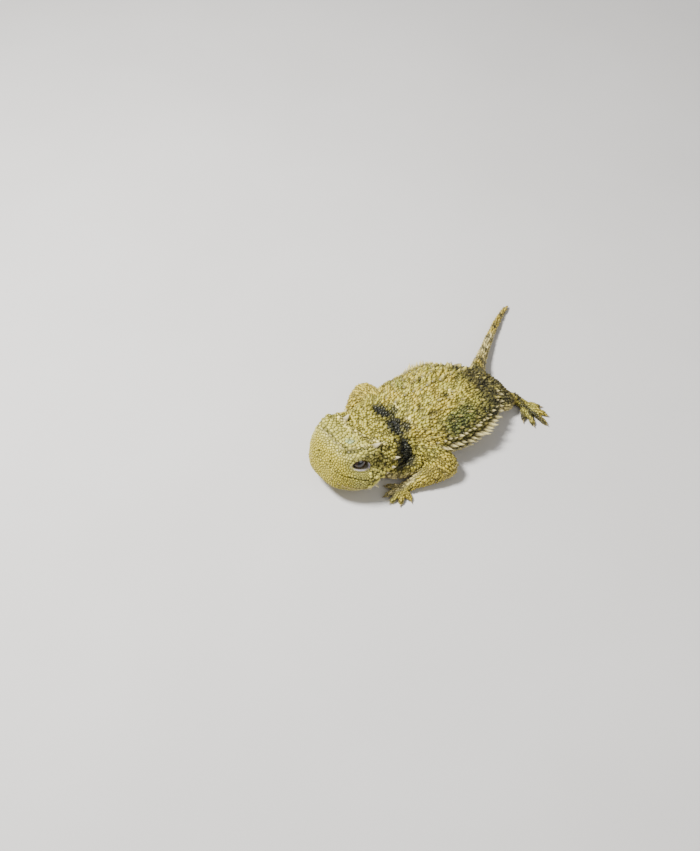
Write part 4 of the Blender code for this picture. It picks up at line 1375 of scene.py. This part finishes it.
class Scatter:
    """A Geometry Nodes tree that repeats one shape over a surface, or at given roots."""

    def __init__(self, name: str, over_surface: bool) -> None:
        """Builds the tree.

        Args:
            name: The tree's name.
            over_surface: Whether the shape is spread over a surface, or set on each vertex.
        """
        self.tree = bpy.data.node_groups.new(name, "GeometryNodeTree")
        self.over_surface = over_surface
        self._interface()
        self._nodes()

    def _interface(self) -> None:
        """The tree's named inputs and its output."""
        face = self.tree.interface
        face.new_socket("Geometry", in_out="INPUT", socket_type="NodeSocketGeometry")
        face.new_socket("Geometry", in_out="OUTPUT", socket_type="NodeSocketGeometry")
        self.ids = {}
        kinds = {"Shape": "Object", "Finish": "Material", "Size": "Float", "Spread": "Float",
                 "Spacing": "Float", "Seed": "Int"}
        for label, kind in kinds.items():
            socket = face.new_socket(label, in_out="INPUT", socket_type="NodeSocket" + kind)
            self.ids[label] = socket.identifier

    def _nodes(self) -> None:
        """Roots, their turn and size, the repeated shape, its bake patch and its finish."""
        maker = NodeMaker(self.tree)
        entry = self.tree.nodes.new("NodeGroupInput").outputs
        seed = entry["Seed"]

        def read(name: str, kind: str) -> bpy.types.NodeSocket:
            node = maker.add("GeometryNodeInputNamedAttribute", {"data_type": kind}, Name=name)
            return next(s for s in node.outputs if s.enabled)

        def keep(geometry: object, name: str, value: object, kind: str,
                 domain: str = "POINT") -> bpy.types.NodeSocket:
            node = maker.add("GeometryNodeStoreNamedAttribute", {"data_type": kind, "domain": domain},
                             Geometry=geometry, Name=name, Value=value)
            return node.outputs["Geometry"]

        def math_node(operation: str, first: object, second: object) -> bpy.types.NodeSocket:
            return maker.add("ShaderNodeMath", {"operation": operation}, in0=first, in1=second).outputs[0]

        chance = maker.add("FunctionNodeRandomValue", {"data_type": "FLOAT"}, Seed=seed)
        chance = next(s for s in chance.outputs if s.enabled)
        if self.over_surface:
            density = math_node("DIVIDE", 2.4, math_node("MULTIPLY", entry["Spacing"], entry["Spacing"]))
            spread = maker.add("GeometryNodeDistributePointsOnFaces", {"distribute_method": "POISSON"},
                               Mesh=entry["Geometry"], Distance_Min=entry["Spacing"],
                               Density_Max=density, Density_Factor=read("cover", "FLOAT"), Seed=seed)
            points, upwards = spread.outputs["Points"], spread.outputs["Normal"]
            points = keep(points, "root_map", read(BAKE_MAP, "FLOAT_VECTOR"), "FLOAT_VECTOR")
        else:
            points, upwards = entry["Geometry"], read("way", "FLOAT_VECTOR")
        here = self.tree.nodes.new("GeometryNodeInputPosition").outputs[0]
        points = keep(points, "root", here, "FLOAT_VECTOR")
        points = keep(points, "tint", chance, "FLOAT")
        stand = maker.add("FunctionNodeAlignRotationToVector", {"axis": "Z"}, Vector=upwards)
        turned = maker.add("FunctionNodeAlignRotationToVector", {"axis": "Y", "pivot_axis": "Z"},
                           Rotation=stand.outputs[0], Vector=read("lie", "FLOAT_VECTOR"))
        centred = math_node("SUBTRACT", chance, 0.5)
        varied = math_node("ADD", math_node("MULTIPLY", centred, entry["Spread"]), 1.0)
        size = math_node("MULTIPLY", varied, entry["Size"])
        stretch = maker.add("ShaderNodeVectorMath", {"operation": "SCALE"},
                            in0=read("stretch", "FLOAT_VECTOR"), Scale=size)
        shape = maker.add("GeometryNodeObjectInfo", Object=entry["Shape"])
        copies = maker.add("GeometryNodeInstanceOnPoints", Points=points, Instance=shape.outputs["Geometry"],
                           Rotation=turned.outputs[0], Scale=stretch.outputs[0])
        solid = maker.add("GeometryNodeRealizeInstances", Geometry=copies.outputs[0]).outputs[0]
        patch = maker.add("ShaderNodeVectorMath", {"operation": "MULTIPLY_ADD"},
                          in0=read("patch", "FLOAT_VECTOR"), in1=(BAKE_PATCH,) * 3,
                          in2=read("root_map", "FLOAT_VECTOR"))
        solid = keep(solid, BAKE_MAP, patch.outputs[0], "FLOAT2", "CORNER")
        dressed = maker.add("GeometryNodeSetMaterial", Geometry=solid, Material=entry["Finish"])
        leave = self.tree.nodes.new("NodeGroupOutput")
        self.tree.links.new(dressed.outputs[0], leave.inputs[0])

    def grow(self, name: str, base: bpy.types.Object, shape: bpy.types.Object,
             finish: bpy.types.Material, **sizes: float) -> bpy.types.Object:
        """Repeats a shape on a base object.

        Args:
            name: The new piece's name.
            base: A surface with lie, cover and stretch, or roots with way and root_map too.
            shape: The shape to repeat.
            finish: Its material.
            sizes: Values of the tree's other inputs, by lower-case name.

        Returns:
            The piece in millimetres, as a plain mesh.
        """
        obj = linked(name, base.data)
        grower = obj.modifiers.new("grower", "NODES")
        grower.node_group = self.tree
        grower[self.ids["Shape"]] = shape
        grower[self.ids["Finish"]] = finish
        for label, value in sizes.items():
            grower[self.ids[label.capitalize()]] = value
        graph = bpy.context.evaluated_depsgraph_get()
        mesh = bpy.data.meshes.new_from_object(obj.evaluated_get(graph), depsgraph=graph)
        obj.modifiers.clear()
        obj.data = mesh
        mesh.name = name
        for extra in ("root_map", "patch", "lie", "cover", "stretch", "way", "part"):
            if extra in mesh.attributes:
                mesh.attributes.remove(mesh.attributes[extra])
        return obj


# Spines, horns, claws and eyes

@dataclass(frozen=True)
class Root:
    """One spine's root on the skin, the way it points, its length and its root's radius."""

    place: Array
    way: Array
    length: float
    radius: float


class Surface:
    """The skin as something to find roots on."""

    def __init__(self, skin: bpy.types.Object) -> None:
        """Keeps a search tree over the skin, and its bake map.

        Args:
            skin: The skin in millimetres.
        """
        mesh = skin.data
        self.tree = BVHTree.FromPolygons([v.co[:] for v in mesh.vertices],
                                         [p.vertices[:] for p in mesh.polygons])
        self.mesh = mesh
        self.map = mesh.uv_layers[BAKE_MAP].uv

    def nearest(self, point: Array) -> tuple[Array, Array, Array]:
        """The nearest place on the skin to a point.

        Args:
            point: Where to look from.

        Returns:
            The place, the skin's outward direction there, and its place on the bake map.
        """
        spot, normal, face, _ = self.tree.find_nearest(Vector(point))
        corner = self.mesh.polygons[face].loop_start
        flat = self.map[corner].vector
        return np.array(spot), np.array(normal), np.array((flat[0], flat[1], 0.0))


@dataclass
class SpineRow:
    """Spines of one kind, set on the skin at their roots."""

    name: str
    roots: list[Root]
    finish: KeratinFinish
    seed: int = 1
    spread: float = 0.3

    def build(self, surface: Surface, scatter: Scatter, template: bpy.types.Object) -> bpy.types.Object:
        """Grows the spines.

        Args:
            surface: The skin.
            scatter: The tree that repeats a shape at given roots.
            template: The spine's shape.

        Returns:
            The spines as one piece, in metres.
        """
        spots, ways, lies, flats = [], [], [], []
        for root in self.roots:
            spot, normal, flat = surface.nearest(root.place)
            spots.append(spot - normal * 0.03)
            ways.append(unit(root.way))
            lies.append(unit(root.way - normal * float(root.way @ normal) + np.array((0, 0.01, 0))))
            flats.append(flat)
        base = bpy.data.objects.new(self.name + "_roots", bpy.data.meshes.new("roots"))
        base.data.from_pydata([tuple(s) for s in spots], [], [])
        store(base.data, "way", np.array(ways))
        store(base.data, "lie", np.array(lies))
        store(base.data, "root_map", np.array(flats))
        store(base.data, "stretch", np.array([(r.radius, r.radius, r.length) for r in self.roots]))
        piece = scatter.grow(self.name, base, template, self.finish.material(),
                             size=1.0, spread=self.spread, seed=self.seed, spacing=1.0)
        bpy.data.objects.remove(base)
        to_metres(piece)
        log.info("%s: %d spines", self.name, len(self.roots))
        return piece


@dataclass
class Armour:
    """Every row of spines on the body, and the claws."""

    fringe_ends: tuple[float, float] = (-5.5, 3.1)
    fringe_spacing: float = 0.47
    fringe_length: float = 1.30
    fringe_radius: float = 0.31
    back_start: float = -6.0
    back_reach: float = 11.4
    back_spacing: float = 0.95
    back_length: float = 0.44
    back_radius: float = 0.26
    back_right_share: float = 1.45  # the low rows on the right stand out against the outline
    seed: int = 21

    def rows(self) -> list[SpineRow]:
        """The rows, each with its finish."""
        cream = srgb(196, 182, 104)
        self.draw = random.Random(self.seed)
        rows = (
            ("fringe_spines", self._fringe, "fringe_horn", srgb(66, 58, 28), srgb(216, 202, 140)),
            ("back_spines", self._back, "back_horn", srgb(104, 94, 36), srgb(196, 182, 92)),
            ("tail_spines", self._tail, "tail_horn", srgb(112, 94, 46), cream),
            ("limb_spines", self._limbs, "limb_horn", srgb(120, 102, 40), cream),
            ("jaw_spines", self._jaw, "jaw_horn", srgb(132, 116, 50), cream),
            ("claws", self._claws, "claw_horn", srgb(178, 160, 92), srgb(112, 88, 50)),
        )
        return [SpineRow(name, roots(), KeratinFinish(finish, root, tip))
                for name, roots, finish, root, tip in rows]

    def _fringe(self) -> list[Root]:
        """Two close rows of flat pointed scales along each flank."""
        trunk = Trunk()
        roots = []
        last, first = self.fringe_ends
        for side_angle, left in ((0.0, 1), (math.pi, -1)):
            for row, (rise, share) in enumerate(((0.16, 1.0), (-0.04, 0.62), (0.40, 0.5))):
                count = round((first - last) / self.fringe_spacing)
                for k in range(count):
                    step = k + 0.5 * (row % 2) + self.draw.uniform(-0.15, 0.15)
                    forward = last + step * self.fringe_spacing
                    angle = side_angle + left * (rise + self.draw.uniform(-0.03, 0.03))
                    spot = trunk.point(forward, angle)
                    outward = unit(spot - trunk.point(forward, angle + math.pi))
                    way = unit(outward + place(-0.75, 0, 0.06 + 0.25 * (row == 2)))
                    middle = 1 - 0.4 * abs(2 * (forward - last) / (first - last) - 1)
                    length = self.fringe_length * share * middle * self.draw.uniform(0.75, 1.1)
                    roots.append(Root(spot, way, length, self.fringe_radius * (0.6 + 0.4 * share)))
        return roots

    def _back(self) -> list[Root]:
        """Rows of keeled tubercles over the back, larger towards its middle."""
        trunk = Trunk()
        roots = []
        for left, side_angle in ((1, 0.0), (-1, math.pi)):
            for row, share in enumerate((0.13, 0.30, 0.47, 0.64, 0.80)):
                count = round(self.back_reach / self.back_spacing)
                for k in range(count):
                    step = k + 0.5 * (row % 2) + self.draw.uniform(-0.2, 0.2)
                    forward = self.back_start + step * self.back_spacing
                    turn = (1 - share + self.draw.uniform(-0.03, 0.03)) * math.pi / 2
                    angle = side_angle + left * turn
                    spot = trunk.point(forward, angle)
                    outward = unit(spot - trunk.point(forward, angle + math.pi))
                    way = unit(outward * 0.8 + place(-0.85, 0, 0.1))
                    larger = self.back_right_share if left < 0 and share < 0.7 else 1.0
                    size = self.draw.uniform(0.65, 1.1) * larger
                    roots.append(Root(spot, way, self.back_length * size, self.back_radius * size))
        return roots

    def _tail(self) -> list[Root]:
        """Pointed scales along both edges of the tail, smaller towards its end."""
        table = with_distance(TAIL_SECTIONS)
        roots = []
        for s in np.arange(1.2, table[-1][0] - 0.5, 0.42):
            here, ahead = eased(table, s), eased(table, s + 0.1)
            back = unit(place(*ahead[:3]) - place(*here[:3]))
            side = unit(np.cross(back, (0.0, 0.0, 1.0)))
            size = 0.5 + 0.5 * here[3] / 0.8
            for way in (side, -side):
                for lift, share in ((0.15, 1.0), (0.9, 0.6)):
                    out = unit(way + np.array((0, 0, lift)))
                    spot = place(*here[:3]) + out * here[3] * (0.95 if lift < 0.5 else 0.9)
                    roots.append(Root(spot, unit(out * 0.8 + back * 0.8),
                                      0.42 * size * share * self.draw.uniform(0.8, 1.1), 0.17 * size))
        return roots

    def _limbs(self) -> list[Root]:
        """A fringe of pointed scales along the outer edge of each forearm and shank."""
        roots = []
        for limb in LIMBS:
            bend, wrist = place(*limb.bend), place(*limb.wrist)
            back = unit(bend - wrist)
            outward = unit(place(limb.spiny_side[0], limb.spiny_side[1], 0.0))
            for lift, share in ((0.0, 1.0), (0.45, 0.7)):
                for s in np.arange(-0.25, 0.92, 0.085):
                    middle = bend * (1 - s) + wrist * s
                    radius = limb.radii[2] * (1 - max(s, 0.0)) + limb.radii[4] * max(s, 0.0)
                    out = unit(outward + np.array((0.0, 0.0, lift)))
                    spot = middle + out * radius
                    roots.append(Root(spot, unit(out * 0.75 + back * 0.7),
                                      0.34 * share * self.draw.uniform(0.8, 1.15), 0.16))
        return roots

    def _jaw(self) -> list[Root]:
        """Pointed scales along the lower jaw and small ones over the temple."""
        roots = []
        for side in (1, -1):
            for along in np.arange(1.9, 5.35, 0.36):
                section = eased(HEAD_SECTIONS, along)
                spot = HEAD.point(along, side * section[5] * 0.99, section[6] * 0.55)
                way = HEAD.direction(-0.5, side * 1.0, -0.35)
                roots.append(Root(spot, way, 0.34 * self.draw.uniform(0.8, 1.1), 0.17))
            for along, out, up in ((0.9, 3.4, 1.9), (1.4, 3.3, 2.0), (0.6, 4.0, 0.7), (1.5, 4.2, 0.2)):
                spot = HEAD.point(along, side * out, up)
                roots.append(Root(spot, HEAD.direction(-0.9, side * 0.6, 0.3), 0.32, 0.18))
        return roots

    def _claws(self) -> list[Root]:
        """One claw on each digit."""
        roots = []
        for limb in LIMBS:
            palm = place(*limb.palm)
            for forward, left in limb.digits:
                tip = place(forward, left, 0.20)
                way = unit((tip - palm) * (1, 1, 0))
                roots.append(Root(tip + way * 0.1, way + np.array((0, 0, -0.12)), 0.46,
                                  limb.digit_radius * 0.36))
        return roots


@dataclass
class Horns:
    """The short occipital and temporal horns on both sides of the head."""

    sides: int = 14
    rings: int = 9
    ribs: float = 0.05

    def build(self) -> bpy.types.Object:
        """Builds the horns as one piece, in metres."""
        parts, crests = [], []
        for side in (1, -1):
            for horn in (*self._tips(), *OTHER_HORNS):
                parts.append(self._horn(horn, side))
                crests.append(np.repeat(np.linspace(0, 1, self.rings), self.sides))
        piece = joined("horns", parts)
        store(piece.data, "crest", np.concatenate(crests))
        store(piece.data, "tint", np.full(len(piece.data.vertices), 0.5))
        finish = KeratinFinish("head_horn", srgb(112, 102, 56), srgb(214, 202, 156))
        piece.data.materials.append(finish.material())
        to_metres(piece)
        return piece

    @staticmethod
    def _tips() -> list[Horn]:
        """The free ends of the temporal horns, which stand out of the shelf behind the eye."""
        tips = []
        for horn in TEMPORAL_HORNS:
            root = tuple(a * 0.55 + b * 0.45 for a, b in zip(horn.root, horn.tip))
            tips.append(Horn(root, horn.tip, horn.radius * 0.62, 0.05))
        return tips

    def _horn(self, horn: Horn, side: int) -> bpy.types.Object:
        """One horn: a bent, flattened cone with faint growth rings."""
        root = HEAD.sided(horn.root, side)
        tip = HEAD.sided(horn.tip, side)
        way = tip - root
        length = float(np.linalg.norm(way))
        way = way / length
        lift = unit(np.cross(np.cross(way, (0.0, 0.0, 1.0)), way))
        across = np.cross(way, lift)
        turns = 2 * math.pi * np.arange(self.sides) / self.sides
        rings = []
        for t in np.linspace(0, 1, self.rings):
            far = -0.35 + (length + 0.35) * t
            share = (1 - t) ** 0.75 * (1 + self.ribs * math.sin(t * 26))
            wide = max(horn.radius * share, 0.02)
            centre = root + way * far + lift * horn.bend * length * t * t
            rings.append(centre + np.outer(np.cos(turns), across) * wide
                         + np.outer(np.sin(turns), lift) * wide * 0.78)
        return loft("horn", rings)


@dataclass(frozen=True)
class Eye:
    """One eye: a ball in its lids, with the pupil where the opening faces."""

    node: str
    side: int
    radius: float = EYE_BALL

    def build(self, finish: bpy.types.Material) -> bpy.types.Object:
        """Builds the eye, in metres."""
        work = bmesh.new()
        bmesh.ops.create_icosphere(work, subdivisions=4, radius=self.radius)
        mesh = bpy.data.meshes.new(self.node + "_ball")
        work.to_mesh(mesh)
        work.free()
        obj = linked(self.node + "_ball", mesh)
        look = HEAD.direction(EYE_LOOK[0], self.side * EYE_LOOK[1], EYE_LOOK[2])
        store(mesh, "crest", (unit(points_of(mesh)) @ look))
        centre = HEAD.sided(EYE_CENTRE, self.side)
        mesh.transform(Matrix.Translation(Vector(centre)))
        mesh.materials.append(finish)
        to_metres(obj)
        return obj


class Studio:
    """A plain pale floor, soft light and the camera at the photograph's view."""

    azimuth = 52.0
    elevation = 52.5
    distance = 120.0
    aim = (-9.66, -0.60)  # millimetres right and up of the origin, across the view
    lens = 44.9

    def axes(self) -> tuple[Array, Array, Array]:
        """The view's right, up and backward directions."""
        a, e = math.radians(self.azimuth), math.radians(self.elevation)
        back = np.array((math.sin(a) * math.cos(e), -math.cos(a) * math.cos(e), math.sin(e)))
        right = np.array((math.cos(a), math.sin(a), 0.0))
        return right, np.cross(back, right), back

    def camera(self) -> None:
        """Makes the camera."""
        right, up, back = self.axes()
        target = right * self.aim[0] + up * self.aim[1]
        data = bpy.data.cameras.new("camera")
        data.lens, data.sensor_width = self.lens, 36.0
        data.clip_start, data.clip_end = 0.002, 10.0
        eye = bpy.data.objects.new("camera", data)
        turn = Matrix((right, up, back)).transposed().to_4x4()
        eye.matrix_world = Matrix.Translation(Vector((target + back * self.distance) * MM)) @ turn
        bpy.context.scene.collection.objects.link(eye)
        bpy.context.scene.camera = eye

    def lights(self) -> None:
        """A large key light, a weak fill and a pale surround."""
        for name, offset, size, power in (
            ("key_light", (-62, -60, 140), 42, 0.66), ("fill_light", (120, 30, 90), 120, 0.07),
        ):
            data = bpy.data.lights.new(name, "AREA")
            data.shape, data.size, data.energy = "DISK", size * MM, power
            light = bpy.data.objects.new(name, data)
            light.location = Vector(offset) * MM
            light.rotation_euler = (-light.location).to_track_quat("-Z", "Y").to_euler()
            bpy.context.scene.collection.objects.link(light)
        world = bpy.data.worlds.new("surround")
        world.use_nodes = True
        world.node_tree.nodes["Background"].inputs["Color"].default_value = (0.95, 0.96, 1.0, 1.0)
        world.node_tree.nodes["Background"].inputs["Strength"].default_value = 0.33
        bpy.context.scene.world = world

    def floor(self) -> None:
        """The floor, level with the lowest point of the body."""
        reach = 0.6
        floor = mesh_object("floor", np.array(
            ((-reach, -reach, 0), (reach, -reach, 0), (reach, reach, 0), (-reach, reach, 0))), [(0, 1, 2, 3)])
        material, maker, shader = new_material("pale_floor")
        noise = maker.add("ShaderNodeTexNoise", Vector=maker.add("ShaderNodeTexCoord").outputs["Object"],
                          Scale=40.0, Detail=3.0)
        ramp = maker.add("ShaderNodeValToRGB", {"stops": (
            (0.3, (0.62, 0.60, 0.57)), (0.7, (0.66, 0.64, 0.61)))}, Fac=noise.outputs["Fac"])
        maker.finish(shader, Base_Color=ramp.outputs["Color"], Roughness=0.8)
        floor.data.materials.append(material)


# The head's plates and the coat of scales

@dataclass
class HeadPlates:
    """The head's close-set horny plates: polygons that fill the skin between their roots."""

    gap: float = 0.05
    height: float = 0.065
    corners: int = 8
    seed: int = 5

    def build(self, skin: bpy.types.Object, surface: Surface, finish: bpy.types.Material,
              bare: Callable[[Array], Array]) -> bpy.types.Object:
        """Builds the plates as one piece, in metres.

        Args:
            skin: The skin in millimetres, with its labels.
            surface: The same skin, as something to find roots on.
            finish: The plates' material.
            bare: Tells which points of the head's frame have no plates.

        Returns:
            The plates.
        """
        points, normals = points_of(skin.data), normals_of(skin.data)
        part = np.empty(len(points), np.float32)
        skin.data.attributes["part"].data.foreach_get("value", part)
        own = HEAD.own(points)
        chosen = np.nonzero((part == Part.HEAD.value) & (bare(own) < 0.5))[0]
        sizes = self._sizes(own)
        seeds = self._spread(points, sizes, chosen)
        tree = KDTree(len(seeds))
        for number, index in enumerate(seeds):
            tree.insert(points[index], number)
        tree.balance()
        draw = random.Random(self.seed)
        self.verts, self.faces, self.patches = [], [], []
        self.held = {"root": [], "tint": [], "crest": []}
        for index in seeds:
            near = [np.array(co) for co, _, far in tree.find_range(points[index], sizes[index] * 2.1)
                    if far > 1e-4]
            self._plate(points[index], normals[index], near, sizes[index], draw, surface)
        mesh = bpy.data.meshes.new("plates_head")
        mesh.from_pydata(self.verts, [], self.faces)
        for name, values in self.held.items():
            store(mesh, name, np.array(values))
        layer = mesh.uv_layers.new(name=BAKE_MAP)
        flat = np.array([self.patches[loop.vertex_index] for loop in mesh.loops], np.float32)
        layer.uv.foreach_set("vector", flat.ravel())
        mesh.materials.append(finish)
        obj = linked("plates_head", mesh)
        to_metres(obj)
        log.info("plates_head: %d plates", len(seeds))
        return obj

    @staticmethod
    def _sizes(own: Array) -> Array:
        """How far apart the plates stand at points of the head's frame."""
        along, out, up = own[:, 0], np.abs(own[:, 1]), own[:, 2]
        crown = smoothstep(1.5, 2.1, up)
        sizes = 0.235 + 0.11 * crown * smoothstep(4.6, 4.0, along)
        eye = np.sqrt((along - EYE_CENTRE[0]) ** 2 + (out - EYE_CENTRE[1] - 1.0) ** 2
                      + (up - EYE_CENTRE[2]) ** 2)
        sizes -= 0.09 * smoothstep(1.5, 0.9, eye)
        return sizes - 0.03 * smoothstep(-0.2, -1.0, up)

    @staticmethod
    def _spread(points: Array, sizes: Array, chosen: Array) -> list[int]:
        """Vertices no closer to one another than their sizes, in a fixed random order."""
        order = np.random.default_rng(17).permutation(chosen)
        cell = 0.45
        taken: dict[tuple[int, int, int], list[int]] = {}
        kept = []
        for index in order:
            key = tuple(np.floor(points[index] / cell).astype(int))
            close = False
            for step in range(27):
                beside = (key[0] + step % 3 - 1, key[1] + step // 3 % 3 - 1, key[2] + step // 9 - 1)
                for other in taken.get(beside, ()):
                    away = points[index] - points[other]
                    if away @ away < sizes[index] ** 2:
                        close = True
                        break
                if close:
                    break
            if not close:
                taken.setdefault(key, []).append(int(index))
                kept.append(int(index))
        return kept

    def _plate(self, root: Array, normal: Array, near: list[Array], size: float,
               draw: random.Random, surface: Surface) -> None:
        """Adds one plate: a polygon clipped half way to each neighbour, raised to a low cushion.

        Args:
            root: The plate's middle on the skin.
            normal: The skin's outward direction there.
            near: The middles of the plates round it.
            size: How far apart plates stand there.
            draw: Where its height and tint come from.
            surface: The skin.
        """
        side = unit(np.cross(normal, (0.31, 0.22, 0.93)))
        lift = np.cross(normal, side)
        turns = 2 * math.pi * np.arange(self.corners) / self.corners
        outline = [np.array((math.cos(t), math.sin(t))) * size * 0.78 for t in turns]
        for other in near:
            flat = np.array(((other - root) @ side, (other - root) @ lift))
            far = float(np.linalg.norm(flat))
            if far > 1e-6:
                outline = self._clipped(outline, flat / far, far / 2 - self.gap / 2)
        if len(outline) < 3:
            return
        spot, _, patch = surface.nearest(root)
        tall = self.height * (size / 0.34) * draw.uniform(0.7, 1.5)
        tint = draw.random()
        start, count = len(self.verts), len(outline)
        for share, rise, crest in ((1.0, -0.05, 0.0), (0.93, tall * 0.55, 0.35), (0.55, tall, 0.85)):
            for corner in outline:
                foot = surface.nearest(root + (side * corner[0] + lift * corner[1]) * share)[0]
                self.verts.append(tuple(foot + normal * rise))
                self.patches.append(tuple(patch[:2] + corner * share / size * 0.5 * BAKE_PATCH))
                self.held["crest"].append(crest)
        self.verts.append(tuple(spot + normal * tall * 1.15))
        self.patches.append(tuple(patch[:2]))
        self.held["crest"].append(1.0)
        added = 3 * count + 1
        self.held["root"] += [tuple(root)] * added
        self.held["tint"] += [tint] * added
        self.faces += loft_faces(3, count, start, root=False, tip=False)
        self.faces.append(tuple(start + k for k in reversed(range(count))))
        top = start + 2 * count
        self.faces += [(top + k, top + (k + 1) % count, start + 3 * count) for k in range(count)]

    @staticmethod
    def _clipped(outline: list[Array], way: Array, limit: float) -> list[Array]:
        """The part of an outline that lies within a limit along a direction."""
        kept = []
        for i, here in enumerate(outline):
            ahead = outline[(i + 1) % len(outline)]
            a, b = here @ way - limit, ahead @ way - limit
            if a <= 0:
                kept.append(here)
            if a * b < 0:
                kept.append(here + (ahead - here) * (a / (a - b)))
        return kept


@dataclass(frozen=True)
class CoatArea:
    """One area of the coat: which parts, how its scales look, and how close they stand."""

    name: str
    parts: tuple[Part, ...]
    shape: ScaleShape
    spacing: float
    size: float
    stretch: tuple[float, float, float] = (1.0, 1.0, 1.0)
    spread: float = 0.5
    top: bool | None = None  # only upper, only under, or both sides
    seed: int = 1


@dataclass
class Coat:
    """The scales over the skin, area by area."""

    areas: tuple[CoatArea, ...] = (
        CoatArea("scales_back", (Part.TRUNK,), ScaleShape.KEELED, 0.25, 0.40, (1.0, 0.9, 1.25), 0.9, True, 3),
        CoatArea("scales_belly", (Part.TRUNK, Part.NECK), ScaleShape.FLAT, 0.30, 0.40,
                 (1.0, 1.1, 1.0), 0.3, False, 5),
        CoatArea("scales_neck", (Part.NECK,), ScaleShape.GRANULE, 0.23, 0.33, (1.0, 1.0, 1.5), 0.9, True, 7),
        CoatArea("scales_tail", (Part.TAIL,), ScaleShape.KEELED, 0.23, 0.36, (0.9, 1.0, 1.2), 0.5, None, 11),
        CoatArea("scales_limbs", (Part.LIMB,), ScaleShape.KEELED, 0.23, 0.35,
                 (1.0, 0.95, 1.3), 0.7, None, 13),
        CoatArea("scales_hands", (Part.HAND,), ScaleShape.KEELED, 0.18, 0.26, (1.0, 1.0, 0.9), 0.4, None, 15),
    )

    def build(self, skin: bpy.types.Object, markings: bpy.types.NodeTree) -> list[bpy.types.Object]:
        """Grows every area.

        Args:
            skin: The skin in millimetres, with its labels and bake map.
            markings: The shared group of the body's colours.

        Returns:
            The pieces, in metres.
        """
        scatter = Scatter("scales_over_skin", True)
        finish = ScaleFinish("horny_scales").material(markings)
        templates = {shape: shape.template() for shape in ScaleShape}
        mesh = skin.data
        points, normals = points_of(mesh), normals_of(mesh)
        part = np.empty(len(points), np.float32)
        mesh.attributes["part"].data.foreach_get("value", part)
        own = HEAD.own(points)
        pieces = []
        for area in self.areas:
            cover = np.isin(part, [p.value for p in area.parts]).astype(float)
            if area.top is not None:
                upper = smoothstep(-0.45, -0.25, normals[:, 2])
                cover *= upper if area.top else 1 - upper
            cover *= 1 - self.bare(own)
            cover *= points[:, 2] > 0.12
            store(mesh, "cover", cover)
            store(mesh, "stretch", np.tile(area.stretch, (len(points), 1)))
            piece = scatter.grow(area.name, skin, templates[area.shape], finish, spacing=area.spacing,
                                 size=area.size, spread=area.spread, seed=area.seed)
            to_metres(piece)
            pieces.append(piece)
            log.info("%s: %d faces", area.name, len(piece.data.polygons))
        for template in templates.values():
            bpy.data.objects.remove(template)
        return pieces

    @staticmethod
    def bare(own: Array) -> Array:
        """1 where the head has no scales: the eye openings, nostrils and the line of the mouth."""
        along, out, up = own[:, 0], np.abs(own[:, 1]), own[:, 2]
        def far(centre: tuple[float, float, float], squash: float = 1.0) -> Array:
            return np.sqrt((along - centre[0]) ** 2 + (out - centre[1]) ** 2
                           + ((up - centre[2]) * squash) ** 2)

        socket = tuple(c + 0.9 * w for c, w in zip(EYE_CENTRE, unit(np.array(EYE_LOOK))))
        eye = far(socket, 1.4) < 0.98
        nostril, ear = far(NOSTRIL) < 0.24, far(EAR) < 0.40
        mouth = (np.abs(up + 0.05) < 0.10) & (along > 1.3)
        return (eye | nostril | ear | mouth).astype(float)


def main() -> None:
    """Builds the lizard piece by piece."""
    logging.basicConfig(level=logging.INFO, format="%(name)s: %(message)s")
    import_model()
    studio = Studio()
    studio.camera()
    studio.lights()
    studio.floor()
    markings = MarkingsAndPaintedLight().build()
    skin = Skin().build()
    log.info("skin: %d faces", len(skin.data.polygons))
    coat = Coat().build(skin, markings)
    surface = Surface(skin)
    # The plates' finish paints shade at their bases and a pale, partly highlighted crown, fainter than the
    # scales'.
    horny = ScaleFinish("horny_plates", ridge_share=0.22, base_share=0.62, spread=0.24, roughness=0.4)
    coat.append(HeadPlates().build(skin, surface, horny.material(markings), Coat.bare))
    at_roots, template = Scatter("spines_at_roots", False), ScaleShape.SPINE.template()
    spines = [row.build(surface, at_roots, template) for row in Armour().rows()] + [Horns().build()]
    bpy.data.objects.remove(template)
    eye_finish = EyeFinish().material()
    skin.data.materials.append(SkinFinish().material(markings))
    to_metres(skin)
    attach(skin, ROOT_BODY)
    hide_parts(*FLESH_NODES)
    for piece in (*coat, *spines):
        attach(piece, ROOT_BODY)
    for eye in (Eye("eye_left", 1), Eye("eye_right", -1)):
        ball = eye.build(eye_finish)
        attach(ball, ROOT_BODY)
        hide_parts(eye.node)


if __name__ == "__main__":
    main()
